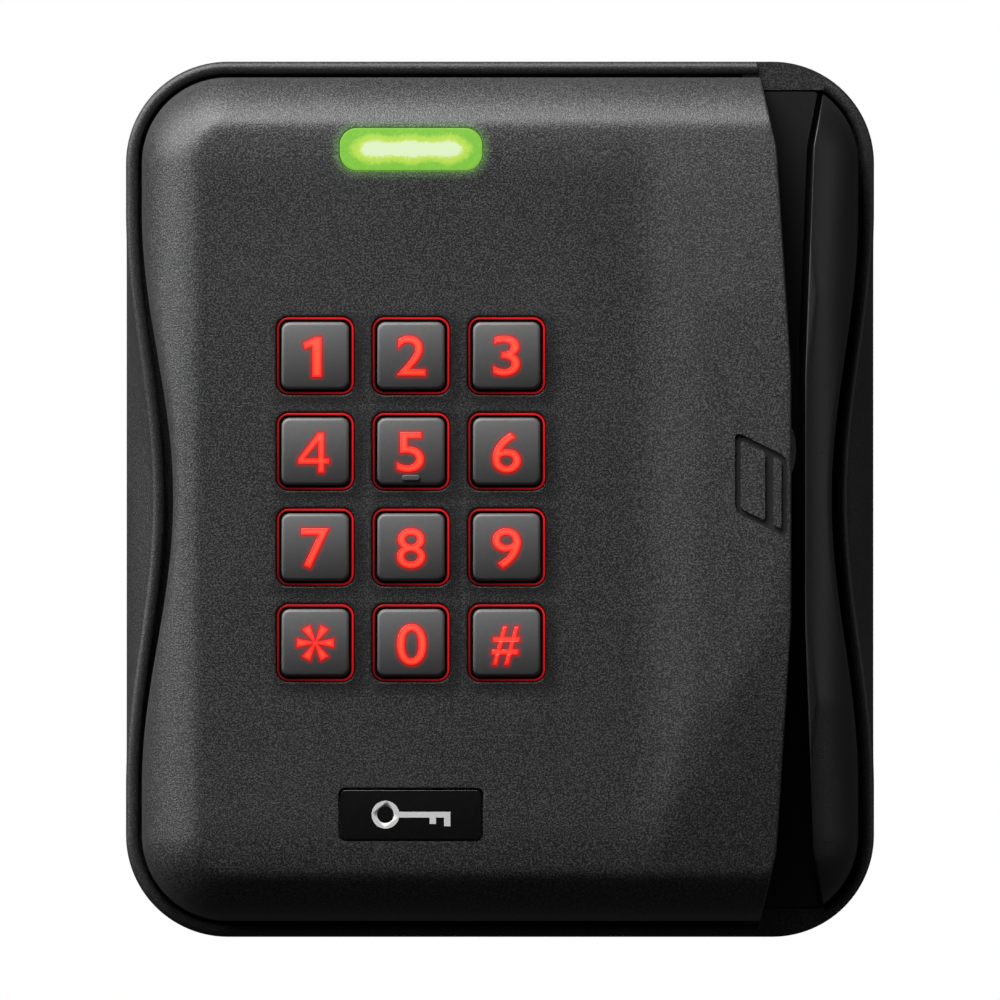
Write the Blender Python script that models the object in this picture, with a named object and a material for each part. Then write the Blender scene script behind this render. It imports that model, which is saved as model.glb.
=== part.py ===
"""A wall-mounted keypad access reader with a vertical card-swipe slot, as separate pieces.

Metres, +Z up. The wall is the plane y = 0 and the front faces -Y, so a piece's height off the wall is -y.
The origin is the centre of the mounting plate's wall face.
"""

import math

import bmesh
import bpy
from mathutils import Matrix, Vector

MM = 0.001
FIT = 0.3 * MM

# Overall shape
WIDTH = 129.4 * MM
HEIGHT = 151.4 * MM
CORNER_RADIUS = 17.6 * MM
FACE_HEIGHT = 37.0 * MM
CREST_RISE = 5.0 * MM
CREASE_Z = 60.2 * MM
SHOULDER_FOOT = 22.0 * MM
SHOULDER_RISE = 16.0 * MM
SHOULDER_WIDTH = 15.0 * MM
SLOT_SHOULDER_RISE = 20.0 * MM
SLOT_SHOULDER_WIDTH = 12.0 * MM
SCOOP_X = 22.5 * MM
SCOOP_RADIUS = 35.0 * MM
COVER_WALL = 2.5 * MM

# Rear housing, with a finger hollow in each side
WAVE_DEPTH = 4.5 * MM
WAVE_HALF_LENGTH = 50.0 * MM
SKIRT_BACK = 1.8 * MM
SKIRT_WALL = 4.3 * MM
BACK_CHAMFER = 0.8 * MM
FLOOR_BACK = 8.0 * MM
FLOOR_THICKNESS = 2.0 * MM
LEDGE_HEIGHT = 12.0 * MM
LEDGE_SPARE = 0.9 * MM
BEAD_WIDTH = 2.2 * MM
BEAD_RISE = 1.2 * MM
RIM_HEIGHT = 17.0 * MM
GROOVE = 0.6 * MM
GROOVE_SPREAD = 1.0 * MM

# Swipe slot: half-height and the x of its left and right edge, the same above and below the middle
SLOT_LEFT = ((0.0, 50.2 * MM), (21.7 * MM, 50.2 * MM), (60.9 * MM, 47.7 * MM), (76.5 * MM, 44.1 * MM))
SLOT_WIDTH = 2.4 * MM
SLOT_SPREAD = ((0.0, 0.0), (21.7 * MM, 0.0), (60.9 * MM, 4.0 * MM), (76.5 * MM, 10.6 * MM))
SLOT_FLOOR = 16.0 * MM
TRACK_LEFT = 45.6 * MM
TRACK_HALF_LENGTH = 70.5 * MM
TRACK_GROOVE_WIDTH = 1.0 * MM
TRACK_GROOVE_DEPTH = 2.0 * MM
END_BLOCK_LEFT = 42.0 * MM
RAIL_WALL = 1.5 * MM

# Magnetic head, beside the slot
HEAD_Z = 8.5 * MM
HEAD_LENGTH = 9.7 * MM
HEAD_HEIGHT = 10.5 * MM
HEAD_ABOVE_FLOOR = 9.0 * MM
HEAD_REACH = 0.9 * MM
HEAD_DEPTH = 7.0 * MM
HEAD_SQUARE_SHARE = 0.75
SPRING_THICKNESS = 0.3 * MM
SPRING_RISE = 1.2 * MM
SPRING_HALF_LENGTH = 11.0 * MM
SPRING_HALF_WIDTH = 2.0 * MM
BRACKET_WALL = 0.8 * MM
BRACKET_HALF_WIDTH = 4.0 * MM

# Keypad
KEYPAD_X = -15.35 * MM
KEYPAD_Z = 0.0
KEY_PITCH = 16.5 * MM
KEY_SIZE = 11.9 * MM
KEY_CORNER = 1.4 * MM
KEY_PROUD = 1.5 * MM
KEY_TOP_INSET = 0.3 * MM
KEY_CHAMFER = 0.45 * MM
KEY_FLANGE = 0.85 * MM
KEY_FLANGE_THICKNESS = 1.6 * MM
COLLAR_GAP = 0.25 * MM
COLLAR_WALL = 0.33 * MM
COLLAR_BELOW_FACE = 0.25 * MM
FRAME_THICKNESS = 1.6 * MM
FRAME_MARGIN = 4.0 * MM
FRAME_CORNER = 3.0 * MM
MAT_THICKNESS = 1.0 * MM
MAT_MARGIN = 1.5 * MM
MAT_CORNER = 2.0 * MM
DOME_RADIUS = 3.6 * MM
DOME_RISE = 2.1 * MM
KEY_NAMES = (("1", "2", "3"), ("4", "5", "6"), ("7", "8", "9"), ("star", "0", "hash"))

# Circuit board and what it carries
BOARD_X = -8.0 * MM
BOARD_WIDTH = 88.0 * MM
BOARD_HEIGHT = 128.0 * MM
BOARD_THICKNESS = 1.6 * MM
BOARD_CORNER = 4.0 * MM
COIL_WIDTH = 2.4 * MM
COIL_THICKNESS = 1.2 * MM
COIL_MARGIN = 1.6 * MM
COIL_CORNER = 3.0 * MM
CHIP_PLACE = (-20.0 * MM, 24.0 * MM)
CHIP_SIZE = 12.0 * MM
CHIP_CORNER = 0.5 * MM
CHIP_THICKNESS = 1.4 * MM
BEEPER_PLACE = (18.0 * MM, 44.0 * MM)
BEEPER_RADIUS = 6.0 * MM
BEEPER_HEIGHT = 7.5 * MM
BEEPER_PORT_RADIUS = 1.0 * MM
BEEPER_PORT_DEPTH = 1.5 * MM
BLOCK_Z = (-29.0 * MM, -20.0 * MM)
BLOCK_HEIGHT = 9.0 * MM
BLOCK_WAYS = 8
BLOCK_PITCH = 5.0 * MM
WELL_WIDTH = 3.2 * MM
WELL_MARGIN = 2.8 * MM
WELL_DEPTH = 5.0 * MM

# Status light
LENS_X = -15.35 * MM
LENS_Z = 60.4 * MM
LENS_WIDTH = 24.6 * MM
LENS_HEIGHT = 7.3 * MM
LENS_CORNER = 3.0 * MM
LENS_PROUD = 0.2 * MM
LENS_BACK = 30.5 * MM
LENS_LEDS = 3
LED_PITCH = 6.6 * MM
LED_WIDTH = 3.2 * MM
LED_HEIGHT = 2.8 * MM
LED_CORNER = 0.4 * MM
LED_THICKNESS = 1.9 * MM

# Badge
BADGE_X = -15.35 * MM
BADGE_Z = -54.4 * MM
BADGE_WIDTH = 25.0 * MM
BADGE_HEIGHT = 9.15 * MM
BADGE_CORNER = 1.2 * MM
BADGE_POCKET = 0.9 * MM

# Card sign, a leaning card outline with its stripe
SIGN_LEFT = 40.5 * MM
SIGN_WIDTH = 9.0 * MM
SIGN_TOP = 11.8 * MM
SIGN_SIDE = 14.0 * MM
SIGN_SLANT = 4.5 * MM
SIGN_CORNER = 1.0 * MM
SIGN_LINE = 1.0 * MM
SIGN_STRIPE_FROM = 5.2 * MM
SIGN_STRIPE = 1.4 * MM
SIGN_DEPTH = 0.5 * MM

# Fixings
POST_RADIUS = 3.2 * MM
CASE_SCREW_HOLE = 1.7 * MM
CASE_SCREW_RADIUS = 1.4 * MM
CASE_SCREW_LENGTH = 16.0 * MM
SCREW_HEAD_RADIUS = 2.8 * MM
SCREW_HEAD_HEIGHT = 1.4 * MM
SCREW_RECESS_SHARE = 0.45
SCREW_CROWN_SHARE = 0.8
CASE_SCREWS = tuple((x * MM, z * MM) for x, z in ((-46.0, 60.0), (33.0, 60.0), (-46.0, -60.0), (33.0, -60.0)))
BOSS_RADIUS = 2.3 * MM
BOARD_SCREW_RADIUS = 1.0 * MM
BOARD_SCREW_LENGTH = 6.0 * MM
BOARD_SCREW_HEAD = 2.0 * MM
BOARD_SCREWS = tuple((x * MM, z * MM) for x, z in ((-48.9, 36.0), (30.0, 36.0), (-48.9, -36.0), (30.0, -36.0)))

# Mounting plate
PLATE_WIDTH = 104.0 * MM
PLATE_HEIGHT = 124.0 * MM
PLATE_CORNER = 10.0 * MM
PLATE_THICKNESS = 1.6 * MM
BOX_SCREW_SPACING = 83.3 * MM
BOX_SLOT_RADIUS = 2.2 * MM
BOX_SLOT_LENGTH = 10.0 * MM
ROUND_SPARE = 0.01 * MM
CABLE_Z = -22.0 * MM
CABLE_WINDOW = 26.0 * MM
CABLE_WINDOW_CORNER = 3.0 * MM
TAB_HALF_WIDTH = 8.0 * MM
TAB_REACH = 66.0 * MM
TAB_HEIGHT = 7.4 * MM
LOCK_HEIGHT = 5.0 * MM
LOCK_SCREW_RADIUS = 1.25 * MM
LOCK_HEAD_RADIUS = 2.2 * MM
LOCK_HEAD_DEPTH = 2.1 * MM
LOCK_SPARE = 3.0 * MM
HOOK_X = 30.0 * MM
HOOK_HALF_WIDTH = 4.0 * MM
HOOK_HEIGHT = 5.4 * MM
HOOK_LIP = 3.0 * MM
BEND_OVERLAP = 4.0 * MM
CATCH_HALF_WIDTH = 6.0 * MM
GASKET_THICKNESS = 1.5 * MM
GASKET_WIDTH = 2.6 * MM
GROMMET_HOLE = 5.0 * MM
GROMMET_NECK = 8.7 * MM
GROMMET_FLANGE = 11.0 * MM
GROMMET_FLANGE_THICKNESS = 1.4 * MM

# Worked out from the sizes above
SLOT_RIGHT = tuple((z, x + SLOT_WIDTH + more) for (z, x), (_, more) in zip(SLOT_LEFT, SLOT_SPREAD))
COVER_INSET = BEAD_WIDTH + GROOVE
COVER_WAVE = WAVE_DEPTH + GROOVE_SPREAD
SEAT_HEIGHT = LEDGE_HEIGHT + FIT
HEAD_MIDDLE = SLOT_FLOOR + HEAD_ABOVE_FLOOR
HEAD_BACK = SLOT_LEFT[0][1] + HEAD_REACH - HEAD_DEPTH
FLOOR_FRONT = FLOOR_BACK + FLOOR_THICKNESS
ARCH_RADIUS = (CREASE_Z ** 2 + CREST_RISE ** 2) / (2 * CREST_RISE)
KEY_TOP = FACE_HEIGHT + KEY_PROUD
WINDOW_SIZE = KEY_SIZE + 2 * (COLLAR_GAP + COLLAR_WALL + FIT)
COLLAR_INNER = KEY_SIZE + 2 * COLLAR_GAP
COLLAR_OUTER = COLLAR_INNER + 2 * COLLAR_WALL
FRAME_FRONT = FACE_HEIGHT - COVER_WALL - FIT
FRAME_BACK = FRAME_FRONT - FRAME_THICKNESS
FLANGE_FRONT = FRAME_BACK - FIT
FLANGE_BACK = FLANGE_FRONT - KEY_FLANGE_THICKNESS
DOME_TOP = FLANGE_BACK - FIT
MAT_FRONT = DOME_TOP - DOME_RISE
MAT_BACK = MAT_FRONT - MAT_THICKNESS
BOARD_FRONT = MAT_BACK - FIT
BOARD_BACK = BOARD_FRONT - BOARD_THICKNESS
PAD_WIDTH = 2 * KEY_PITCH + KEY_SIZE
PAD_HEIGHT = 3 * KEY_PITCH + KEY_SIZE
FAR = 0.2
CLEAR = 2.0 * MM
SIDE_STEPS = 4
BEAD_STEPS = 4


def at(x, z, height):
    """The point at x, z that stands this height off the wall."""
    return Vector((x, -height, z))


# Materials


def material(name, colour, roughness, metallic=0.0, glow=0.0):
    finish = bpy.data.materials.new(name)
    finish.use_nodes = True
    shader = finish.node_tree.nodes["Principled BSDF"]
    shader.inputs["Base Color"].default_value = (*colour, 1.0)
    shader.inputs["Roughness"].default_value = roughness
    shader.inputs["Metallic"].default_value = metallic
    if glow:
        shader.inputs["Emission Color"].default_value = (*colour, 1.0)
        shader.inputs["Emission Strength"].default_value = glow
    finish.diffuse_color = (*colour, 1.0)
    return finish


# Mesh helpers


def add_object(name, build, finish, smooth=False):
    """A mesh object of this name from a filled bmesh, with its faces turned outwards."""
    bmesh.ops.recalc_face_normals(build, faces=build.faces)
    mesh = bpy.data.meshes.new(name)
    build.to_mesh(mesh)
    build.free()
    if smooth:
        mesh.shade_smooth()
        mesh.set_sharp_from_angle(angle=math.radians(35))
    if finish:
        mesh.materials.append(finish)
    piece = bpy.data.objects.new(name, mesh)
    bpy.context.scene.collection.objects.link(piece)
    if not finish:
        piece.display_type = "WIRE"
        piece.hide_render = True
    return piece


def add_rings(build, rings):
    """A closed body through rings of points, capped at the first and last."""
    rows = [[build.verts.new(point) for point in ring] for ring in rings]
    count = len(rows[0])
    for low, high in zip(rows, rows[1:]):
        for i in range(count):
            j = (i + 1) % count
            build.faces.new((low[i], low[j], high[j], high[i]))
    build.faces.new(list(reversed(rows[0])))
    build.faces.new(rows[-1])


def add_prism(build, outline, low, high):
    """An outline in x and z, raised from one height off the wall to another."""
    add_rings(build, [[at(x, z, low) for x, z in outline], [at(x, z, high) for x, z in outline]])


def prism(name, outline, low, high, finish=None):
    build = bmesh.new()
    add_prism(build, outline, low, high)
    return add_object(name, build, finish)


def prisms(name, items, finish=None):
    """Several separate prisms in one mesh, each (outline, low, high)."""
    build = bmesh.new()
    for outline, low, high in items:
        add_prism(build, outline, low, high)
    return add_object(name, build, finish)


def rectangle(x0, x1, z0, z1):
    return [(x0, z0), (x1, z0), (x1, z1), (x0, z1)]


def rounded(x, z, width, height, radius, steps=4):
    """A rectangle with round corners, centred on x, z."""
    points = []
    for sx, sz, start in ((1, 1, 0), (-1, 1, 90), (-1, -1, 180), (1, -1, 270)):
        for k in range(steps + 1):
            angle = math.radians(start + 90 * k / steps)
            points.append((
                x + sx * (width / 2 - radius) + radius * math.cos(angle),
                z + sz * (height / 2 - radius) + radius * math.sin(angle),
            ))
    return points


def circle(x, z, radius, steps=20):
    turn = 2 * math.pi / steps
    return [(x + radius * math.cos(k * turn), z + radius * math.sin(k * turn)) for k in range(steps)]


def turned(name, profile, place, axis, finish=None, steps=20):
    """A body turned round an axis through a place, from a profile of (radius, distance along the axis).
    The profile starts and ends on the axis, or closes on itself when it never meets it."""
    build = bmesh.new()
    turn = Matrix.Rotation(2 * math.pi / steps, 4, axis)
    side = axis.orthogonal().normalized()
    closed = all(radius > 0 for radius, _ in profile)
    rows = []
    for radius, along in profile:
        centre = place + axis * along
        if radius == 0:
            rows.append([build.verts.new(centre)])
            continue
        arm = side * radius
        row = []
        for _ in range(steps):
            row.append(build.verts.new(centre + arm))
            arm = turn @ arm
        rows.append(row)
    pairs = list(zip(rows, rows[1:]))
    if closed:
        pairs.append((rows[-1], rows[0]))
    for low, high in pairs:
        for i in range(steps):
            j = (i + 1) % steps
            if len(low) == 1:
                build.faces.new((low[0], high[j], high[i]))
            elif len(high) == 1:
                build.faces.new((low[i], low[j], high[0]))
            else:
                build.faces.new((low[i], low[j], high[j], high[i]))
    return add_object(name, build, finish, smooth=True)


def combine(piece, other, operation):
    change = piece.modifiers.new(f"{operation.lower()}_{other.name}", "BOOLEAN")
    change.operation = operation
    change.solver = "EXACT"
    change.object = other
    other.display_type = "WIRE"
    other.hide_render = True


# The outline seen from the front, and the height of the front surface


def hollow(z):
    """How far the finger hollow has set in at this height, from 0 to 1: one swell of a cosine."""
    if abs(z) >= WAVE_HALF_LENGTH:
        return 0.0
    return 0.5 * (1 + math.cos(math.pi * z / WAVE_HALF_LENGTH))


def outline(inset, wave=0.0, corner_steps=5, side_steps=14):
    """The reader's outline set in by a distance, with its two long sides hollowed by a wave depth."""
    half_x = WIDTH / 2 - inset
    half_z = HEIGHT / 2 - inset
    radius = CORNER_RADIUS - inset
    points = []
    for sx, sz, start in ((1, 1, 0), (-1, 1, 90), (-1, -1, 180), (1, -1, 270)):
        for k in range(corner_steps + 1):
            angle = math.radians(start + 90 * k / corner_steps)
            points.append((
                sx * (half_x - radius) + radius * math.cos(angle),
                sz * (half_z - radius) + radius * math.sin(angle),
            ))
        if sx == sz:
            continue
        side = math.copysign(half_x, sx)
        for k in range(1, side_steps):
            points.append((side, sz * (half_z - radius) * (1 - 2 * k / side_steps)))
    return [(x - math.copysign(wave * hollow(z), x), z) for x, z in points]


def front_height(x, z, lower=0.0):
    """The front surface: the least of a gentle arch over the height, a flat face that scoops up towards
    the slot, and a rounded shoulder that falls to the rim, steeper beside the slot. lower gives the surface
    that much further in."""
    radius = CORNER_RADIUS - COVER_INSET
    across = abs(x) - (WIDTH / 2 - COVER_INSET - radius)
    up = abs(z) - (HEIGHT / 2 - COVER_INSET - radius)
    inside = radius - math.hypot(max(across, 0), max(up, 0)) - min(max(across, up), 0) - lower
    beside_slot = min(max((x - SCOOP_X) / (SLOT_LEFT[0][1] - SCOOP_X), 0), 1)
    width = SHOULDER_WIDTH + (SLOT_SHOULDER_WIDTH - SHOULDER_WIDTH) * beside_slot
    rise = SHOULDER_RISE + (SLOT_SHOULDER_RISE - SHOULDER_RISE) * beside_slot
    share = min(max(inside / width, 0), 1)
    shoulder = SHOULDER_FOOT + rise * math.sqrt(1 - (1 - share) ** 2)
    arch = FACE_HEIGHT + CREST_RISE - ARCH_RADIUS + math.sqrt(ARCH_RADIUS ** 2 - z ** 2)
    base = FACE_HEIGHT + max(x - SCOOP_X, 0) ** 2 / (2 * SCOOP_RADIUS)
    return min(shoulder, arch, base) - lower


def grid_lines(half, creases):
    """Places across the front where its grid has a line: on the creases, and closer together at the edges."""
    edge = half - COVER_INSET
    lines = {half + FIT, -half - FIT}
    for share in (0.0, 0.04, 0.12, 0.25, 0.42, 0.6, 0.8, 1.0):
        lines |= {edge - share * SHOULDER_WIDTH, share * SHOULDER_WIDTH - edge}
    lines |= set(creases)
    kept = []
    for place in sorted(lines):
        if not kept or place - kept[-1] > FIT:
            kept.append(place)
    return kept


def form_block(name, low, lower=0.0):
    """A block with the front surface on top, its underside at one height."""
    scoop_top = SCOOP_X + math.sqrt(2 * SCOOP_RADIUS * CREST_RISE)
    across = [SCOOP_X + (scoop_top - SCOOP_X) * k / 5 for k in range(6)]
    xs = grid_lines(WIDTH / 2, across)
    zs = grid_lines(HEIGHT / 2, [CREASE_Z * k / 5 for k in range(-5, 6)])
    build = bmesh.new()
    top = [[build.verts.new(at(x, z, front_height(x, z, lower))) for z in zs] for x in xs]
    rim_places = [(x, zs[0]) for x in xs] + [(xs[-1], z) for z in zs[1:]]
    rim_places += [(x, zs[-1]) for x in reversed(xs[:-1])] + [(xs[0], z) for z in reversed(zs[1:-1])]
    foot = [build.verts.new(at(x, z, low)) for x, z in rim_places]
    rim = [row[0] for row in top] + top[-1][1:]
    rim += [row[-1] for row in reversed(top[:-1])] + list(reversed(top[0][1:-1]))
    for a, b in zip(top, top[1:]):
        for i in range(len(zs) - 1):
            build.faces.new((a[i], b[i], b[i + 1], a[i + 1]))
    for i in range(len(rim)):
        j = (i + 1) % len(rim)
        build.faces.new((rim[i], rim[j], foot[j], foot[i]))
    build.faces.new(foot)
    return add_object(name, build, None)


def slot_line(edge, shift=0.0):
    """One edge of the slot from bottom to top, moved sideways by a shift."""
    upper = [(x + shift, z) for z, x in edge]
    lower = [(x, -z) for x, z in reversed(upper[1:])]
    return lower + upper


def left_of_slot(shift=0.0):
    return slot_line(SLOT_LEFT, shift) + [(-FAR, HEIGHT / 2 + FIT), (-FAR, -HEIGHT / 2 - FIT)]


def right_of_slot(shift=0.0):
    return slot_line(SLOT_RIGHT, shift) + [(FAR, HEIGHT / 2 + FIT), (FAR, -HEIGHT / 2 - FIT)]


# The pieces


def key_places():
    """Each key's name and centre, row by row from the top."""
    for row, names in enumerate(KEY_NAMES):
        for column, name in enumerate(names):
            yield name, KEYPAD_X + (column - 1) * KEY_PITCH, KEYPAD_Z + (1.5 - row) * KEY_PITCH


def rear_housing(finish):
    """A tray: a skirt with hollowed sides, a bead round its rim, a ledge for the cover and a floor."""
    side_from = SKIRT_BACK + BACK_CHAMFER
    side_to = RIM_HEIGHT - BEAD_RISE
    cavity = COVER_INSET + COVER_WALL + LEDGE_SPARE
    sections = [
        (SKIRT_WALL, 0.0, FLOOR_BACK),
        (SKIRT_WALL, 0.0, SKIRT_BACK),
        (BACK_CHAMFER, 0.0, SKIRT_BACK),
        (0.0, 0.0, side_from),
    ]
    for k in range(1, SIDE_STEPS + 1):
        share = k / SIDE_STEPS
        wave = WAVE_DEPTH * (1 - math.cos(share * math.pi / 2))
        sections.append((0.0, wave, side_from + share * (side_to - side_from)))
    for k in range(1, BEAD_STEPS + 1):
        turn = math.pi * k / BEAD_STEPS
        inset = BEAD_WIDTH / 2 * (1 - math.cos(turn))
        sections.append((inset, WAVE_DEPTH, side_to + BEAD_RISE * math.sin(turn)))
    sections += [
        (BEAD_WIDTH, WAVE_DEPTH, LEDGE_HEIGHT),
        (cavity, COVER_WAVE, LEDGE_HEIGHT),
        (cavity, COVER_WAVE, FLOOR_FRONT),
    ]
    build = bmesh.new()
    add_rings(build, [[at(x, z, h) for x, z in outline(inset, wave)] for inset, wave, h in sections])
    piece = add_object("rear_housing", build, finish)

    end_from = TRACK_HALF_LENGTH + FIT
    ends = prisms("slot_end_blocks", [
        (rectangle(END_BLOCK_LEFT, FAR, end_from, FAR), FLOOR_BACK + FIT, SLOT_FLOOR),
        (rectangle(END_BLOCK_LEFT, FAR, -FAR, -end_from), FLOOR_BACK + FIT, SLOT_FLOOR),
    ])
    combine(ends, prism("slot_end_trim", outline(BEAD_WIDTH / 2, WAVE_DEPTH), 0, FAR), "INTERSECT")
    combine(piece, ends, "UNION")

    catch_low = PLATE_THICKNESS + FIT
    catch_high = HOOK_HEIGHT - PLATE_THICKNESS - FIT
    catch_from = PLATE_HEIGHT / 2 + FIT
    catches = prisms("hook_catches", [
        (rectangle(s * HOOK_X - CATCH_HALF_WIDTH, s * HOOK_X + CATCH_HALF_WIDTH, catch_from,
                   HEIGHT / 2 - SKIRT_WALL / 2), catch_low, catch_high) for s in (-1, 1)])
    combine(piece, catches, "UNION")

    mouth = slot_line(SLOT_LEFT) + list(reversed(slot_line(SLOT_RIGHT)))
    combine(piece, prism("slot_mouth", mouth, SLOT_FLOOR, FAR), "DIFFERENCE")
    holes = [(circle(x, z, CASE_SCREW_HOLE), 0, FLOOR_FRONT + FIT) for x, z in CASE_SCREWS]
    holes.append((circle(0, CABLE_Z, GROMMET_NECK + FIT, 28), 0, FLOOR_FRONT + FIT))
    combine(piece, prisms("housing_holes", holes), "DIFFERENCE")
    head_bore = LOCK_HEAD_RADIUS + FIT
    shank_bore = LOCK_SCREW_RADIUS + FIT
    through = SKIRT_WALL + CLEAR
    bore = turned("lock_screw_bore", [
        (0, -CLEAR), (head_bore, -CLEAR), (head_bore, LOCK_HEAD_DEPTH), (shank_bore, LOCK_HEAD_DEPTH),
        (shank_bore, through), (0, through)], at(0, -HEIGHT / 2, LOCK_HEIGHT), Vector((0, 0, 1)))
    combine(piece, bore, "DIFFERENCE")
    return piece


def slot_base_clearance():
    """The space of the card track and of the housing's end blocks, which the cover stands clear of."""
    top = SLOT_FLOOR + FIT
    ends = TRACK_HALF_LENGTH
    track = rectangle(TRACK_LEFT - FIT, FAR, -ends - FIT, ends + FIT)
    upper = rectangle(END_BLOCK_LEFT - FIT, FAR, ends, FAR)
    lower = rectangle(END_BLOCK_LEFT - FIT, FAR, -FAR, -ends)
    base = prism("track_space", track, 0, top)
    combine(base, prism("upper_end_space", upper, -FIT, top), "UNION")
    combine(base, prism("lower_end_space", lower, -FIT, top), "UNION")
    return base


def card_sign():
    """The sunk lines of a leaning card: its outline and its stripe."""
    left, right = SIGN_LEFT, SIGN_LEFT + SIGN_WIDTH
    low = front_height(left, 0) - SIGN_DEPTH
    high = FACE_HEIGHT + CREST_RISE + CLEAR

    def leaning(x0, x1, set_in):
        def top(x):
            return SIGN_TOP - SIGN_SLANT * (x - left) / SIGN_WIDTH
        corners = [(x0, top(x0) - SIGN_SIDE + set_in), (x1, top(x1) - SIGN_SIDE + set_in),
                   (x1, top(x1) - set_in), (x0, top(x0) - set_in)]
        points = []
        for k, (x, z) in enumerate(corners):
            here = Vector((x, z))
            reach = min(SIGN_CORNER, (x1 - x0) / 3)
            before = (Vector(corners[k - 1]) - here).normalized() * reach
            after = (Vector(corners[(k + 1) % 4]) - here).normalized() * reach
            for share in (0.0, 0.33, 0.67, 1.0):
                place = here + before * (1 - share) ** 2 + after * share ** 2
                points.append((place.x, place.y))
        return points

    sign = prism("card_sign", leaning(left, right, 0.0), low, high)
    stripe = left + SIGN_STRIPE_FROM
    islands = [(leaning(left + SIGN_LINE, stripe, SIGN_LINE), low - FIT, high + FIT),
               (leaning(stripe + SIGN_STRIPE, right - SIGN_LINE, SIGN_LINE), low - FIT, high + FIT)]
    combine(sign, prisms("card_sign_islands", islands), "DIFFERENCE")
    return sign


def front_cover(finish):
    """The shell with the keypad windows, the status light window, the badge pocket and the card sign."""
    piece = form_block("front_cover", SEAT_HEIGHT)
    piece.data.materials.append(finish)
    piece.hide_render = False
    piece.display_type = "TEXTURED"
    combine(piece, prism("cover_plan", outline(COVER_INSET, COVER_WAVE), 0, FAR), "INTERSECT")
    combine(piece, prism("cover_side", left_of_slot(), 0, FAR), "INTERSECT")

    inner = form_block("cover_inside", 0.0, COVER_WALL)
    plan = outline(COVER_INSET + COVER_WALL, COVER_WAVE)
    combine(inner, prism("cover_inside_plan", plan, -FIT, FAR), "INTERSECT")
    combine(inner, prism("cover_inside_side", left_of_slot(-COVER_WALL), -FIT, FAR), "INTERSECT")
    combine(piece, inner, "DIFFERENCE")

    posts = [(x, z, POST_RADIUS, FLOOR_FRONT + FIT) for x, z in CASE_SCREWS]
    posts += [(x, z, BOSS_RADIUS, BOARD_FRONT + FIT) for x, z in BOARD_SCREWS]
    solid_posts = [(circle(x, z, radius), low, front_height(x, z, COVER_WALL / 2))
                   for x, z, radius, low in posts]
    combine(piece, prisms("cover_posts", solid_posts), "UNION")

    case_hole = FLOOR_FRONT + CASE_SCREW_LENGTH
    board_hole = BOARD_BACK + BOARD_SCREW_LENGTH + FIT
    cuts = [(circle(x, z, CASE_SCREW_HOLE), 0, case_hole) for x, z in CASE_SCREWS]
    cuts += [(circle(x, z, BOARD_SCREW_RADIUS + FIT), 0, board_hole) for x, z in BOARD_SCREWS]
    window_corner = KEY_CORNER + COLLAR_GAP + COLLAR_WALL + FIT
    cuts += [(rounded(x, z, WINDOW_SIZE, WINDOW_SIZE, window_corner), SEAT_HEIGHT, FAR)
             for _, x, z in key_places()]
    lens = rounded(LENS_X, LENS_Z, LENS_WIDTH + 2 * FIT, LENS_HEIGHT + 2 * FIT, LENS_CORNER + FIT)
    badge = rounded(BADGE_X, BADGE_Z, BADGE_WIDTH, BADGE_HEIGHT, BADGE_CORNER)
    cuts += [(lens, SEAT_HEIGHT, FAR), (badge, FACE_HEIGHT - BADGE_POCKET, FAR)]
    combine(piece, prisms("cover_cuts", cuts), "DIFFERENCE")
    combine(piece, card_sign(), "DIFFERENCE")
    combine(piece, slot_base_clearance(), "DIFFERENCE")

    edge = SLOT_LEFT[0][1]
    half = HEAD_LENGTH / 2 + FIT
    rise = HEAD_HEIGHT / 2 + FIT
    window = rectangle(edge - COVER_WALL - CLEAR, edge + CLEAR, HEAD_Z - half, HEAD_Z + half)
    combine(piece, prism("head_window", window, HEAD_MIDDLE - rise, HEAD_MIDDLE + rise), "DIFFERENCE")
    return piece


def rail_cover(finish):
    """The hollow outer wall of the slot, carrying on the shape of the front."""
    base = SLOT_FLOOR + FIT
    piece = form_block("rail_cover", base)
    piece.data.materials.append(finish)
    piece.hide_render = False
    piece.display_type = "TEXTURED"
    combine(piece, prism("rail_plan", outline(COVER_INSET, COVER_WAVE), 0, FAR), "INTERSECT")
    combine(piece, prism("rail_side", right_of_slot(), 0, FAR), "INTERSECT")
    inner = form_block("rail_inside", 0.0, RAIL_WALL)
    plan = outline(COVER_INSET + RAIL_WALL, COVER_WAVE)
    combine(inner, prism("rail_inside_plan", plan, -FIT, FAR), "INTERSECT")
    combine(inner, prism("rail_inside_side", right_of_slot(RAIL_WALL), -FIT, FAR), "INTERSECT")
    combine(piece, inner, "DIFFERENCE")
    return piece


def card_track(finish):
    """The slot's floor, with a narrow groove beside the rail for dust to fall into."""
    plan = outline(COVER_INSET + FIT, COVER_WAVE)
    piece = prism("card_track", plan, LEDGE_HEIGHT + FIT, SLOT_FLOOR, finish)
    strip = rectangle(TRACK_LEFT, FAR, -TRACK_HALF_LENGTH, TRACK_HALF_LENGTH)
    combine(piece, prism("track_strip", strip, 0, FAR), "INTERSECT")
    right = slot_line(SLOT_RIGHT)
    left = slot_line(SLOT_RIGHT, -TRACK_GROOVE_WIDTH)
    groove = prism("track_groove", right + list(reversed(left)), SLOT_FLOOR - TRACK_GROOVE_DEPTH, FAR)
    combine(piece, groove, "DIFFERENCE")
    return piece


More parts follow.
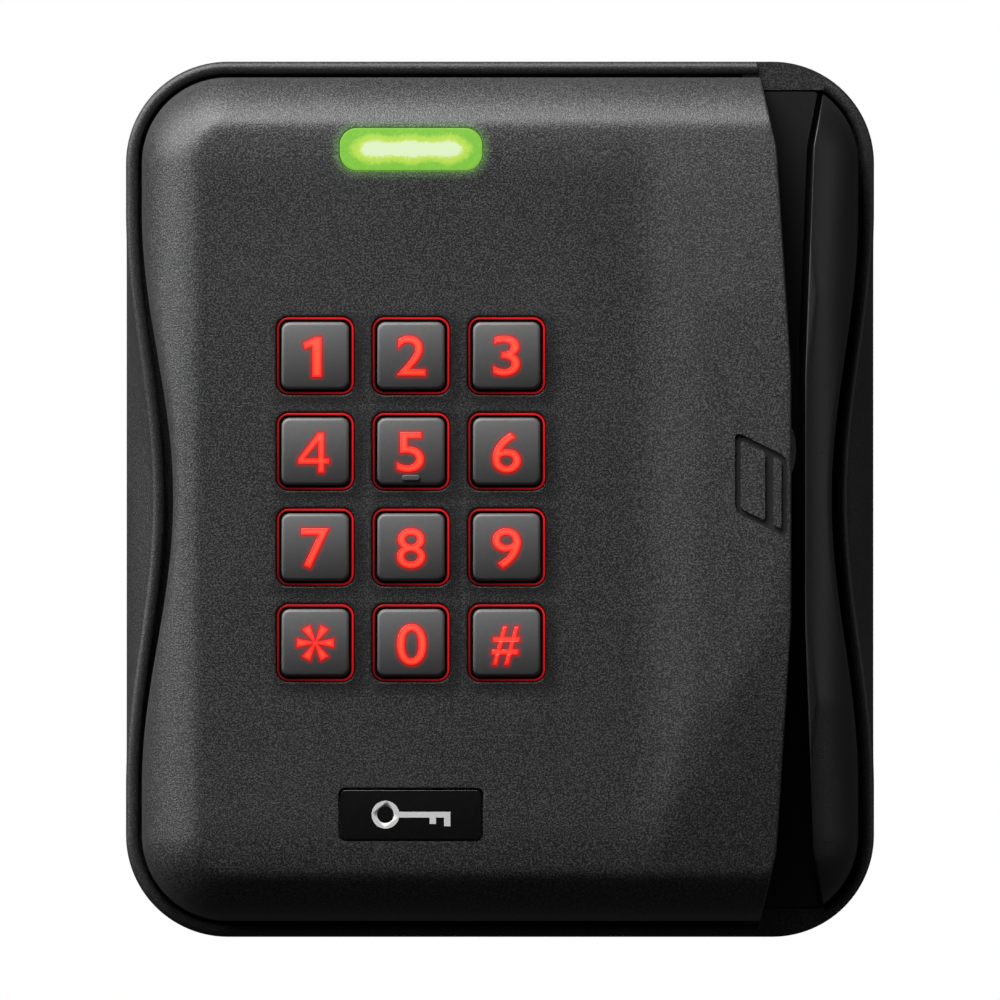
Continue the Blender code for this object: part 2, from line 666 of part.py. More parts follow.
def mag_head(finish):
    """A head with a rounded nose that stands into the slot, its origin on its line of travel."""
    half = HEAD_LENGTH / 2
    round_from = HEAD_DEPTH * HEAD_SQUARE_SHARE
    points = [(0.0, -half), (round_from, -half)]
    for k in range(1, 8):
        turn = math.pi * (k / 8 - 0.5)
        points.append((round_from + (HEAD_DEPTH - round_from) * math.cos(turn), half * math.sin(turn)))
    points += [(round_from, half), (0.0, half)]
    build = bmesh.new()
    add_prism(build, points, -HEAD_HEIGHT / 2, HEAD_HEIGHT / 2)
    piece = add_object("mag_head", build, finish, smooth=True)
    piece.location = at(HEAD_BACK, HEAD_Z, HEAD_MIDDLE)
    return piece


def head_mounting(spring_finish, bracket_finish):
    """A bowed leaf spring behind the head, in a bracket whose arms stand off the slot wall."""
    crown = HEAD_BACK - FIT
    outer, inner = [], []
    for k in range(-8, 9):
        share = k / 8
        bow = -SPRING_RISE * share ** 2
        z = HEAD_Z + share * SPRING_HALF_LENGTH
        outer.append((crown + bow, z))
        inner.append((crown + bow - SPRING_THICKNESS, z))
    leaf = outer + list(reversed(inner))
    half = SPRING_HALF_WIDTH
    prism("head_spring", leaf, HEAD_MIDDLE - half, HEAD_MIDDLE + half, spring_finish)

    base = crown - SPRING_RISE - SPRING_THICKNESS - FIT
    reach = SLOT_LEFT[0][1] - COVER_WALL - FIT
    low, high = HEAD_Z - SPRING_HALF_LENGTH - FIT, HEAD_Z + SPRING_HALF_LENGTH + FIT
    plan = [(base, low), (reach, low), (reach, low - BRACKET_WALL), (base - BRACKET_WALL, low - BRACKET_WALL),
            (base - BRACKET_WALL, high + BRACKET_WALL), (reach, high + BRACKET_WALL), (reach, high),
            (base, high)]
    half = BRACKET_HALF_WIDTH
    prism("head_bracket", plan, HEAD_MIDDLE - half, HEAD_MIDDLE + half, bracket_finish)


def key_cap(name, x, z, finish):
    """A cap with a flange behind the light frame. Its origin is the middle of its top, on its line of travel."""
    flange = KEY_SIZE + 2 * KEY_FLANGE
    sections = [
        (flange, KEY_CORNER + KEY_FLANGE, FLANGE_BACK),
        (flange, KEY_CORNER + KEY_FLANGE, FLANGE_FRONT),
        (KEY_SIZE, KEY_CORNER, FLANGE_FRONT),
        (KEY_SIZE, KEY_CORNER, FACE_HEIGHT),
        (KEY_SIZE - 2 * KEY_TOP_INSET, KEY_CORNER, KEY_TOP - KEY_CHAMFER / 2),
        (KEY_SIZE - 2 * (KEY_TOP_INSET + KEY_CHAMFER), KEY_CORNER - KEY_TOP_INSET, KEY_TOP),
    ]
    build = bmesh.new()
    rings = []
    for size, corner, height in sections:
        rings.append([at(px, pz, height - KEY_TOP) for px, pz in rounded(0, 0, size, size, corner)])
    add_rings(build, rings)
    piece = add_object(f"key_{name}", build, finish)
    piece.location = at(x, z, KEY_TOP)
    return piece


def light_frame(finish):
    """A clear plate behind the cover whose collars glow round the keys."""
    width, height = PAD_WIDTH + 2 * FRAME_MARGIN, PAD_HEIGHT + 2 * FRAME_MARGIN
    plate = rounded(KEYPAD_X, KEYPAD_Z, width, height, FRAME_CORNER)
    piece = prism("light_frame", plate, FRAME_BACK, FRAME_FRONT, finish)
    collar_corner = KEY_CORNER + COLLAR_GAP
    collars = []
    wells = []
    for _, x, z in key_places():
        outer = rounded(x, z, COLLAR_OUTER, COLLAR_OUTER, collar_corner + COLLAR_WALL)
        collars.append((outer, FRAME_BACK + FIT, FACE_HEIGHT - COLLAR_BELOW_FACE))
        wells.append((rounded(x, z, COLLAR_INNER, COLLAR_INNER, collar_corner), 0, FAR))
    combine(piece, prisms("frame_collars", collars), "UNION")
    combine(piece, prisms("frame_wells", wells), "DIFFERENCE")
    return piece


def keypad_mat(finish):
    """A rubber mat with a dome behind each key."""
    plan = rounded(KEYPAD_X, KEYPAD_Z, PAD_WIDTH + 2 * MAT_MARGIN, PAD_HEIGHT + 2 * MAT_MARGIN, MAT_CORNER)
    piece = prism("keypad_mat", plan, MAT_BACK, MAT_FRONT, finish)
    build = bmesh.new()
    for _, x, z in key_places():
        rings = []
        for size, rise in ((1.0, -0.4), (1.0, 0.0), (0.72, 0.6), (0.6, 1.0)):
            height = MAT_FRONT + rise * DOME_RISE
            rings.append([at(px, pz, height) for px, pz in circle(x, z, size * DOME_RADIUS, 12)])
        add_rings(build, rings)
    combine(piece, add_object("mat_domes", build, None), "UNION")
    return piece


def circuit_board(finish):
    plan = rounded(BOARD_X, 0, BOARD_WIDTH, BOARD_HEIGHT, BOARD_CORNER)
    piece = prism("circuit_board", plan, BOARD_BACK, BOARD_FRONT, finish)
    holes = [(circle(x, z, POST_RADIUS + FIT), 0, FAR) for x, z in CASE_SCREWS]
    holes += [(circle(x, z, BOARD_SCREW_RADIUS + FIT, 12), 0, FAR) for x, z in BOARD_SCREWS]
    combine(piece, prisms("board_holes", holes), "DIFFERENCE")
    return piece


def antenna_coil(finish):
    """The flat coil that reads a card held near the keypad."""
    inner_width = PAD_WIDTH + 2 * (MAT_MARGIN + COIL_MARGIN)
    inner_height = PAD_HEIGHT + 2 * (MAT_MARGIN + COIL_MARGIN)
    low = BOARD_FRONT + FIT
    outer_width = inner_width + 2 * COIL_WIDTH
    outer_height = inner_height + 2 * COIL_WIDTH
    outer = rounded(KEYPAD_X, KEYPAD_Z, outer_width, outer_height, COIL_CORNER + COIL_WIDTH)
    piece = prism("antenna_coil", outer, low, low + COIL_THICKNESS, finish)
    inner = rounded(KEYPAD_X, KEYPAD_Z, inner_width, inner_height, COIL_CORNER)
    combine(piece, prism("coil_window", inner, 0, FAR), "DIFFERENCE")
    return piece


def status_lens(finish):
    """A block of clear plastic through the cover, its face following the front surface."""
    plan = rounded(LENS_X, LENS_Z, LENS_WIDTH, LENS_HEIGHT, LENS_CORNER)
    piece = prism("status_lens", plan, LENS_BACK, FAR, finish)
    raised = form_block("lens_face", 0.0, -LENS_PROUD)
    combine(piece, raised, "INTERSECT")
    return piece


def status_leds(finish):
    low = BOARD_FRONT + FIT
    for k in range(LENS_LEDS):
        x = LENS_X + (k - (LENS_LEDS - 1) / 2) * LED_PITCH
        plan = rounded(x, LENS_Z, LED_WIDTH, LED_HEIGHT, LED_CORNER, 2)
        prism(f"status_led_{k + 1}", plan, low, low + LED_THICKNESS, finish)


def board_parts(chip_finish, beeper_finish, block_finish):
    """What stands on the back of the board: the processor, the beeper and the wiring terminals."""
    back = BOARD_BACK - FIT
    chip = rounded(*CHIP_PLACE, CHIP_SIZE, CHIP_SIZE, CHIP_CORNER, 1)
    prism("processor_chip", chip, back - CHIP_THICKNESS, back, chip_finish)

    beeper_back = back - BEEPER_HEIGHT
    beeper = prism("beeper", circle(*BEEPER_PLACE, BEEPER_RADIUS, 24), beeper_back, back, beeper_finish)
    port = circle(*BEEPER_PLACE, BEEPER_PORT_RADIUS, 10)
    port_end = beeper_back + BEEPER_PORT_DEPTH
    combine(beeper, prism("beeper_port", port, beeper_back - FIT, port_end), "DIFFERENCE")

    block_back = back - BLOCK_HEIGHT
    half = BLOCK_WAYS * BLOCK_PITCH / 2
    block = prism("terminal_block", rectangle(-half, half, *BLOCK_Z), block_back, back, block_finish)
    wells = []
    for k in range(BLOCK_WAYS):
        x = (k + 0.5) * BLOCK_PITCH - half
        low, high = BLOCK_Z[0] + WELL_MARGIN, BLOCK_Z[1] - WELL_MARGIN
        plan = rectangle(x - WELL_WIDTH / 2, x + WELL_WIDTH / 2, low, high)
        wells.append((plan, block_back - FIT, block_back + WELL_DEPTH))
    combine(block, prisms("terminal_wells", wells), "DIFFERENCE")


def badge_plate(finish):
    floor = FACE_HEIGHT - BADGE_POCKET
    plan = rounded(BADGE_X, BADGE_Z, BADGE_WIDTH - 2 * FIT, BADGE_HEIGHT - 2 * FIT, BADGE_CORNER - FIT)
    return prism("badge_plate", plan, floor + FIT, FACE_HEIGHT - FIT / 2, finish)


def mounting_plate(finish):
    """A steel plate for a wall box, with two hooks at its top and a bent tab for the lock screw."""
    plan = rounded(0, 0, PLATE_WIDTH, PLATE_HEIGHT, PLATE_CORNER)
    piece = prism("mounting_plate", plan, 0, PLATE_THICKNESS, finish)
    bottom = -TAB_REACH
    tab_inner = bottom + PLATE_THICKNESS
    tab_root = BEND_OVERLAP - PLATE_HEIGHT / 2
    side = [(tab_root, 0.0), (tab_root, PLATE_THICKNESS), (tab_inner, PLATE_THICKNESS),
            (tab_inner, TAB_HEIGHT), (bottom, TAB_HEIGHT), (bottom, 0.0)]
    build = bmesh.new()
    add_rings(build, [[at(x, z, h) for z, h in side] for x in (-TAB_HALF_WIDTH, TAB_HALF_WIDTH)])
    top = PLATE_HEIGHT / 2
    inner = top - PLATE_THICKNESS
    lip_back = HOOK_HEIGHT - PLATE_THICKNESS
    hook = [(top - BEND_OVERLAP, 0.0), (top - BEND_OVERLAP, PLATE_THICKNESS), (inner, PLATE_THICKNESS),
            (inner, HOOK_HEIGHT), (top + HOOK_LIP, HOOK_HEIGHT), (top + HOOK_LIP, lip_back), (top, lip_back),
            (top, 0.0)]
    for centre in (-HOOK_X, HOOK_X):
        add_rings(build, [[at(centre + s * HOOK_HALF_WIDTH, z, h) for z, h in hook] for s in (-1, 1)])
    combine(piece, add_object("plate_tabs", build, None), "UNION")

    holes = [(rounded(0, CABLE_Z, CABLE_WINDOW, CABLE_WINDOW, CABLE_WINDOW_CORNER), -FIT, FAR)]
    for s in (-1, 1):
        z = s * BOX_SCREW_SPACING / 2
        slot = rounded(0, z, BOX_SLOT_LENGTH, 2 * BOX_SLOT_RADIUS, BOX_SLOT_RADIUS - ROUND_SPARE)
        holes.append((slot, -FIT, FAR))
    combine(piece, prisms("plate_holes", holes), "DIFFERENCE")
    radius = LOCK_SCREW_RADIUS + FIT
    through = PLATE_THICKNESS + CLEAR
    bore = turned("tab_bore", [(0, -CLEAR), (radius, -CLEAR), (radius, through), (0, through)],
                  at(0, bottom, LOCK_HEIGHT), Vector((0, 0, 1)))
    combine(piece, bore, "DIFFERENCE")
    return piece


def wall_gasket(finish):
    """A foam ring between the skirt and the wall."""
    piece = prism("wall_gasket", outline(BACK_CHAMFER, side_steps=2), 0, GASKET_THICKNESS, finish)
    inside = outline(BACK_CHAMFER + GASKET_WIDTH, side_steps=2)
    combine(piece, prism("gasket_window", inside, -FIT, FAR), "DIFFERENCE")
    return piece


def cable_grommet(finish):
    """A rubber ring gripping the edge of the housing's cable hole."""
    low = FLOOR_BACK - FIT - GROMMET_FLANGE_THICKNESS
    length = FLOOR_THICKNESS + 2 * (FIT + GROMMET_FLANGE_THICKNESS)
    groove_end = length - GROMMET_FLANGE_THICKNESS
    profile = [(GROMMET_HOLE, 0.0), (GROMMET_FLANGE, 0.0), (GROMMET_FLANGE, GROMMET_FLANGE_THICKNESS),
               (GROMMET_NECK, GROMMET_FLANGE_THICKNESS), (GROMMET_NECK, groove_end),
               (GROMMET_FLANGE, groove_end), (GROMMET_FLANGE, length), (GROMMET_HOLE, length)]
    turned("cable_grommet", profile, at(0, CABLE_Z, low), Vector((0, -1, 0)), finish, 28)


def screw(name, place, axis, shank, head, length, finish):
    """A pan-head screw whose head's underside is at a place, pointing along an axis, with a round recess."""
    recess = head * SCREW_RECESS_SHARE
    head_height = SCREW_HEAD_HEIGHT
    recess_floor = -head_height * SCREW_RECESS_SHARE
    profile = [(0, recess_floor), (recess, recess_floor), (recess, -head_height),
               (head * SCREW_CROWN_SHARE, -head_height), (head, -head_height / 2), (head, 0), (shank, 0),
               (shank, length - shank), (0, length)]
    return turned(name, profile, place, axis, finish, 16)


def screws(finish):
    forward = Vector((0, -1, 0))
    for k, (x, z) in enumerate(CASE_SCREWS):
        screw(f"case_screw_{k + 1}", at(x, z, FLOOR_BACK - FIT), forward, CASE_SCREW_RADIUS,
              SCREW_HEAD_RADIUS, CASE_SCREW_LENGTH, finish)
    for k, (x, z) in enumerate(BOARD_SCREWS):
        screw(f"board_screw_{k + 1}", at(x, z, BOARD_BACK - FIT), forward, BOARD_SCREW_RADIUS,
              BOARD_SCREW_HEAD, BOARD_SCREW_LENGTH, finish)
    place = at(0, -HEIGHT / 2 + LOCK_HEAD_DEPTH - FIT, LOCK_HEIGHT)
    length = HEIGHT / 2 - LOCK_HEAD_DEPTH - TAB_REACH + PLATE_THICKNESS + LOCK_SPARE
    screw("lock_screw", place, Vector((0, 0, 1)), LOCK_SCREW_RADIUS, LOCK_HEAD_RADIUS, length, finish)


def main():
    for item in list(bpy.data.objects):
        bpy.data.objects.remove(item, do_unlink=True)

    steel = material("zinc_plated_steel", (0.62, 0.63, 0.64), 0.4, 1.0)
    housing = material("moulded_black_housing", (0.022, 0.022, 0.023), 0.55)
    cover = material("fine_grain_black_cover", (0.045, 0.045, 0.047), 0.5)
    smooth_black = material("smooth_black_track", (0.012, 0.012, 0.013), 0.4)
    keys = material("satin_grey_key", (0.075, 0.075, 0.077), 0.38)
    red = material("red_light_plastic", (0.9, 0.03, 0.02), 0.3, 0.0, 2.0)
    green = material("green_light_plastic", (0.45, 0.85, 0.1), 0.25, 0.0, 2.0)
    silicone = material("red_silicone", (0.55, 0.05, 0.04), 0.6)
    rubber = material("black_rubber", (0.02, 0.02, 0.02), 0.85)
    foam = material("grey_foam", (0.06, 0.06, 0.065), 0.95)
    laminate = material("green_board_laminate", (0.02, 0.12, 0.05), 0.45)
    copper = material("enamelled_copper", (0.62, 0.28, 0.14), 0.35, 1.0)
    badge = material("gloss_black_badge", (0.03, 0.03, 0.032), 0.2)
    component = material("black_component", (0.025, 0.025, 0.027), 0.5)
    terminal = material("green_terminal_plastic", (0.05, 0.3, 0.12), 0.5)

    mounting_plate(steel)
    wall_gasket(foam)
    rear_housing(housing)
    front_cover(cover)
    rail_cover(housing)
    card_track(smooth_black)
    mag_head(steel)
    head_mounting(steel, steel)
    for name, x, z in key_places():
        key_cap(name, x, z, keys)
    light_frame(red)
    keypad_mat(silicone)
    circuit_board(laminate)
    antenna_coil(copper)
    status_lens(green)
    status_leds(green)
    board_parts(component, component, terminal)
    badge_plate(badge)
    cable_grommet(rubber)
    screws(steel)


main()
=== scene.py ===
# %% [markdown]
# # A keypad access reader
# This lesson dresses a wall-mounted reader: a charcoal cover with twelve lit keys, a green status window
# and a vertical slot for swiping a card. The plain solids come from the design; here each visible skin is
# worked out again as a fine surface, and every piece gets a finish made of nodes. It reads from top to
# bottom: first the frame and the helpers, then the finishes, then one piece at a time.

import bmesh
import bpy
import numpy as np
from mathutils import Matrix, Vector


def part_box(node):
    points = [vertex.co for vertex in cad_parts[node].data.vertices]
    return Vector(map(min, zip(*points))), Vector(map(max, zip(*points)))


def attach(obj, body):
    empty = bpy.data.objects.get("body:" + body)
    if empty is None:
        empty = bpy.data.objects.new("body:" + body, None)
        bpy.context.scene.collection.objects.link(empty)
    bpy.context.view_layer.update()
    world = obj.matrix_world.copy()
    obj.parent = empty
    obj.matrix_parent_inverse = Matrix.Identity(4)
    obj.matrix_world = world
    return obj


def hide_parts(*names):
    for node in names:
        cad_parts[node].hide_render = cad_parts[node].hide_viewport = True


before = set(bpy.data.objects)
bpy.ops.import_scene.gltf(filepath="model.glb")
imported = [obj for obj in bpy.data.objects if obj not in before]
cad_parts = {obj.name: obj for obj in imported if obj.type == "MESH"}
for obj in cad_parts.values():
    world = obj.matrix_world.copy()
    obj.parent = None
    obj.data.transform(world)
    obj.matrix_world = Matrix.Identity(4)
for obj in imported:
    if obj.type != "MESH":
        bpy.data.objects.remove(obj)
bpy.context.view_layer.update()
MM = 0.001

# %% [markdown]
# ## Sizes
# The overall sizes are read from the frame, so they can't drift from the design. The few that describe
# how the surface bends, such as the arch of the front or the width of the bead, are named here once.
# Heights are measured off the wall, towards the viewer, which is -Y.

# %% Driving sizes
housing_low, housing_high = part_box("rear_housing")
cover_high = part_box("front_cover")[1]
WIDTH = housing_high.x - housing_low.x
TALL = housing_high.z - housing_low.z
CORNER = 17.6 * MM
BEAD = 2.2 * MM
BEAD_RISE = 1.2 * MM
RIM_HEIGHT = -housing_low.y
SKIRT_BACK = -housing_high.y
SKIRT_WALL = 4.3 * MM
BACK_ROUND = 0.8 * MM
FLOOR_BACK = 8.0 * MM
FLOOR_FRONT = 10.0 * MM
LEDGE_HEIGHT = 12.0 * MM
HOLLOW_DEPTH = 4.5 * MM
HOLLOW_HALF = 50.0 * MM
COVER_INSET = BEAD + 0.6 * MM
COVER_HOLLOW = HOLLOW_DEPTH + 1.0 * MM
RAIL_HOLLOW = HOLLOW_DEPTH + 0.2 * MM
COVER_WALL = 2.5 * MM
SEAT = -cover_high.y
FACE = 37.0 * MM
CREST_RISE = 5.0 * MM
CREASE_Z = 60.2 * MM
SCOOP_X = 22.5 * MM
RAMP = 0.31
RAMP_BEND = 6.0 * MM
STEEP_END, STEEP_FADE = 60.0 * MM, 25.0 * MM
CREASE_BLEND, SHOULDER_BLEND = 0.9 * MM, 0.35 * MM
SHOULDER_FOOT = 22.0 * MM
SLOT_EDGE = np.array([(0.0, 50.2), (21.7, 50.2), (60.9, 47.7), (76.5, 44.1)]) * MM
SLOT_GAP = np.array([(0.0, 2.4), (21.7, 2.4), (60.9, 6.4), (76.5, 13.0)]) * MM
SLOT_FLOOR = 16.0 * MM
FIT = 0.3 * MM
print("outline", round(WIDTH / MM, 1), "x", round(TALL / MM, 1), "mm")
print("rim", round(RIM_HEIGHT / MM, 1), "mm off the wall")

# %% [markdown]
# ## Helpers for meshes
# Every surface below is a grid of points: rows along one direction and columns along the other. A grid
# can be closed on itself like a tube, and its end rows can be capped with one face. Building faces from
# index arrays keeps Python loops away from single vertices.

# %% Grid faces and mesh objects


def grid_faces(rows, columns, closed=False, start=0):
    """Corner numbers of the faces between neighbouring rows: each joins a point, the next along its row, and
    the same two of the next row. closed also joins the last column to the first."""
    across = np.arange(columns if closed else columns - 1)
    along = np.arange(rows - 1)[:, None]
    here = along * columns + across
    beside = along * columns + (across + 1) % columns
    return np.stack([here, beside, beside + columns, here + columns], -1).reshape(-1, 4) + start


def add_mesh(name, points, faces, smooth_angle=35):
    """A mesh object from an array of points and a list of face arrays, turned outwards and shaded smooth but
    for edges sharper than smooth_angle degrees."""
    mesh = bpy.data.meshes.new(name)
    mesh.from_pydata(np.asarray(points).reshape(-1, 3).tolist(), [], [list(map(int, f)) for f in faces])
    piece = bpy.data.objects.new(name, mesh)
    bpy.context.scene.collection.objects.link(piece)
    turn_outwards(mesh)
    shade(mesh, smooth_angle)
    return piece


def turn_outwards(mesh):
    """Gives a closed mesh one consistent side, the outer one."""
    work = bmesh.new()
    work.from_mesh(mesh)
    bmesh.ops.remove_doubles(work, verts=work.verts, dist=1e-7)
    bmesh.ops.recalc_face_normals(work, faces=work.faces)
    work.to_mesh(mesh)
    work.free()


def shade(mesh, smooth_angle):
    """Smooth shading but for edges sharper than an angle in degrees."""
    mesh.shade_smooth()
    mesh.set_sharp_from_angle(angle=np.radians(smooth_angle))


def carve(piece, tool, operation="DIFFERENCE"):
    """Cuts, joins or crops a piece with a tool and makes the result its mesh."""
    change = piece.modifiers.new(operation, "BOOLEAN")
    change.operation = operation
    change.solver = "EXACT"
    change.object = tool
    view = bpy.context.evaluated_depsgraph_get()
    mesh = bpy.data.meshes.new_from_object(piece.evaluated_get(view), depsgraph=view)
    piece.modifiers.clear()
    old = piece.data
    piece.data = mesh
    mesh.name = piece.name
    bpy.data.meshes.remove(old)
    bpy.data.objects.remove(tool)
    return piece


def place(x, z, height):
    """Points from arrays of x, z and height off the wall."""
    x, z, height = np.broadcast_arrays(x, z, height)
    return np.stack([x, -height, z], -1)


def lofted(name, rings, smooth_angle=35):
    """A closed body through equal rings of points, its first and last ring capped."""
    rings = np.asarray(rings)
    rows, columns = rings.shape[:2]
    faces = list(grid_faces(rows, columns, closed=True))
    faces.append(np.arange(columns)[::-1])
    faces.append(np.arange(columns) + (rows - 1) * columns)
    return add_mesh(name, rings, faces, smooth_angle)


def read_points(items, what="co"):
    """The places of a mesh's vertices, or the centres of its faces, as rows of an array."""
    flat = np.empty(len(items) * 3)
    items.foreach_get(what, flat)
    return flat.reshape(-1, 3)


def joined(name, pieces):
    """One mesh object from several."""
    points, faces, count = [], [], 0
    for piece in pieces:
        points.append(read_points(piece.data.vertices))
        faces += [[v + count for v in p.vertices] for p in piece.data.polygons]
        count += len(points[-1])
        bpy.data.objects.remove(piece)
    return add_mesh(name, np.concatenate(points), faces)


def quarter(radius, steps):
    """(inset, drop) down a rounded edge, from the side up to the face: a quarter circle in even turns."""
    turn = np.linspace(0, np.pi / 2, steps)
    return list(zip(radius * (1 - np.cos(turn)), radius * (1 - np.sin(turn))))


def middle(low, high):
    """The x and z of the middle of a box."""
    return (low.x + high.x) / 2, (low.z + high.z) / 2


print("mesh helpers ready")

# %% [markdown]
# ## Outlines
# The reader is a rectangle with round corners. Its two long sides are drawn in at the middle by one swell
# of a cosine, which is what a finger feels when it lifts the housing off the wall. Setting the outline
# further in shrinks the corner radius by the same amount, so the rings of the rim stay parallel.

# %% Outline functions


def swell(z):
    """One swell of a cosine: 1 at mid-height, falling to 0 at HOLLOW_HALF above and below."""
    inside = np.abs(z) < HOLLOW_HALF
    return np.where(inside, 0.5 * (1 + np.cos(np.pi * z / HOLLOW_HALF)), 0.0)


def outline(inset=0.0, hollow=0.0, corner_steps=28, side_steps=110, end_steps=30):
    """The rounded rectangle set in by inset: four quarter circles joined by straight sides, every point then
    moved towards the middle by hollow times the swell at its height. Returns x and z."""
    half_x, half_z, radius = WIDTH / 2 - inset, TALL / 2 - inset, CORNER - inset
    turn = np.linspace(0, np.pi / 2, corner_steps + 1)
    side = np.linspace(half_z - radius, radius - half_z, side_steps + 1)[1:-1]
    end = np.linspace(half_x - radius, radius - half_x, end_steps + 1)[1:-1]
    xs, zs = [], []
    for sx, sz, start in ((1, 1, 0.0), (-1, 1, 0.5), (-1, -1, 1.0), (1, -1, 1.5)):
        angle = turn + start * np.pi
        xs.append(sx * (half_x - radius) + radius * np.cos(angle))
        zs.append(sz * (half_z - radius) + radius * np.sin(angle))
        if sx == sz:
            xs.append(end * sz)
            zs.append(np.full_like(end, sz * half_z))
        else:
            xs.append(np.full_like(side, sx * half_x))
            zs.append(side * sz)
    x, z = np.concatenate(xs), np.concatenate(zs)
    return x - np.sign(x) * hollow * swell(z), z


def ring(section):
    """One ring of the loft from (inset, hollow, height)."""
    inset, hollow, height = section
    x, z = outline(inset, hollow)
    return place(x, z, height)


def rounded(x, z, width, height, radius, steps=10):
    """A rectangle with round corners about x, z, as an array of x and an array of z."""
    turn = np.linspace(0, np.pi / 2, steps + 1)
    xs, zs = [], []
    for k, (sx, sz) in enumerate(((1, 1), (-1, 1), (-1, -1), (1, -1))):
        xs.append(x + sx * (width / 2 - radius) + radius * np.cos(turn + k * np.pi / 2))
        zs.append(z + sz * (height / 2 - radius) + radius * np.sin(turn + k * np.pi / 2))
    return np.concatenate(xs), np.concatenate(zs)


def even_outline(width, height, radius, steps, count):
    """A rectangle with round corners about the origin, as points at even distances along it."""
    x, z = rounded(0.0, 0.0, width, height, radius, steps)
    x, z = np.append(x, x[0]), np.append(z, z[0])
    along = np.append(0, np.cumsum(np.hypot(np.diff(x), np.diff(z))))
    where = np.linspace(0, along[-1], count, endpoint=False)
    return np.interp(where, along, x), np.interp(where, along, z)


def circle(x, z, radius, steps=48):
    """A circle about x, z as arrays of x and z."""
    turn = np.linspace(0, 2 * np.pi, steps, endpoint=False)
    return x + radius * np.cos(turn), z + radius * np.sin(turn)


def slab(name, flat_outline, low, high):
    """A straight-sided body over an outline, from one height off the wall to another."""
    x, z = flat_outline
    return lofted(name, [place(x, z, low), place(x, z, high)])


def slot_left(z):
    """The slot's left edge: straight stretches between SLOT_EDGE, the same above and below the middle."""
    return np.interp(np.abs(z), SLOT_EDGE[:, 0], SLOT_EDGE[:, 1])


def slot_right(z):
    """The slot's right edge: the left one plus the gap, which widens towards both ends."""
    return slot_left(z) + np.interp(np.abs(z), SLOT_GAP[:, 0], SLOT_GAP[:, 1])


print("outline runs through", len(outline()[0]), "points")

# %% [markdown]
# ## The front surface
# The front is one form that the slot cuts in two. Its height at any place is the least of three: a gentle
# arch over the height, a flat face that ramps up towards the slot, and a shoulder shaped like a quarter
# ellipse that falls to the rim. A soft minimum rounds the creases where they meet, as a mould maker
# would.

# %% Height of the front


def soft_least(a, b, blend):
    """The smaller of two heights, rounded off where they are within blend of each other."""
    near = np.clip(blend - np.abs(a - b), 0, None) / blend
    return np.minimum(a, b) - near ** 2 * blend / 4


def edge_distance(x, z, inset):
    """How far inside the rounded rectangle set in by inset a point lies."""
    radius = CORNER - inset
    across = np.abs(x) - (WIDTH / 2 - inset - radius)
    up = np.abs(z) - (TALL / 2 - inset - radius)
    corner = np.hypot(np.maximum(across, 0), np.maximum(up, 0))
    return radius - corner - np.minimum(np.maximum(across, up), 0)


def front_height(x, z, lower=0.0):
    """The soft least of an arch, a face that ramps up towards the slot, and a shoulder, which is steeper
    beside the middle of the slot. lower gives the surface that much further in."""
    arch_radius = (CREASE_Z ** 2 + CREST_RISE ** 2) / (2 * CREST_RISE)
    arch = FACE + CREST_RISE - arch_radius + np.sqrt(arch_radius ** 2 - z ** 2)
    into = np.clip(x - SCOOP_X, 0, None)
    base = FACE + RAMP * np.where(into < RAMP_BEND, into ** 2 / (2 * RAMP_BEND), into - RAMP_BEND / 2)
    beside_slot = np.clip((x - SCOOP_X) / (SLOT_EDGE[0, 1] - SCOOP_X), 0, 1)
    beside_slot = beside_slot * np.clip((STEEP_END - np.abs(z)) / STEEP_FADE, 0, 1)
    width = (15.0 - 3.0 * beside_slot) * MM
    rise = (16.0 + 4.0 * beside_slot) * MM
    share = np.clip((edge_distance(x, z, COVER_INSET) - lower) / width, 0, 1)
    shoulder = SHOULDER_FOOT + rise * np.sqrt(1 - (1 - share) ** 2)
    face = soft_least(arch, base, CREASE_BLEND)
    return soft_least(face, shoulder, SHOULDER_BLEND) - lower


def rounded_off(distance, radius):
    """How far an edge of this radius has dropped at a distance inside it: a quarter circle."""
    inside = np.clip(radius - distance, 0, radius)
    return radius - np.sqrt(radius ** 2 - inside ** 2)


print("face", FACE / MM, "mm, crest", round(float(front_height(45 * MM, 0.0)) / MM, 2), "mm off the wall")

# %% [markdown]
# ## Finishes shared by several materials
# Moulded plastic isn't flat: the mould is spark-eroded, so the surface has a fine, even grain that
# glitters under a lamp, and it carries slow changes of gloss from handling. Both effects are node groups
# with named inputs. They put out a height and masks only, and each material keeps its own shader.

# %% Node group: moulded grain


def new_group(name, inputs, outputs):
    """An empty node group. inputs are (name, kind, value), outputs (name, kind)."""
    group = bpy.data.node_groups.new(name, "ShaderNodeTree")
    for label, kind, value in inputs:
        socket = group.interface.new_socket(label, in_out="INPUT", socket_type=kind)
        if value is not None:
            socket.default_value = value
    for label, kind in outputs:
        group.interface.new_socket(label, in_out="OUTPUT", socket_type=kind)
    return group, group.nodes.new("NodeGroupInput"), group.nodes.new("NodeGroupOutput")


def math_node(tree, operation, first, second=None, third=None, clamp=False):
    """A Math node whose inputs are sockets or numbers. Returns its output."""
    node = tree.nodes.new("ShaderNodeMath")
    node.operation = operation
    node.use_clamp = clamp
    for slot, value in enumerate((first, second, third)):
        if value is None:
            continue
        if isinstance(value, (int, float)):
            node.inputs[slot].default_value = value
        else:
            tree.links.new(value, node.inputs[slot])
    return node.outputs[0]


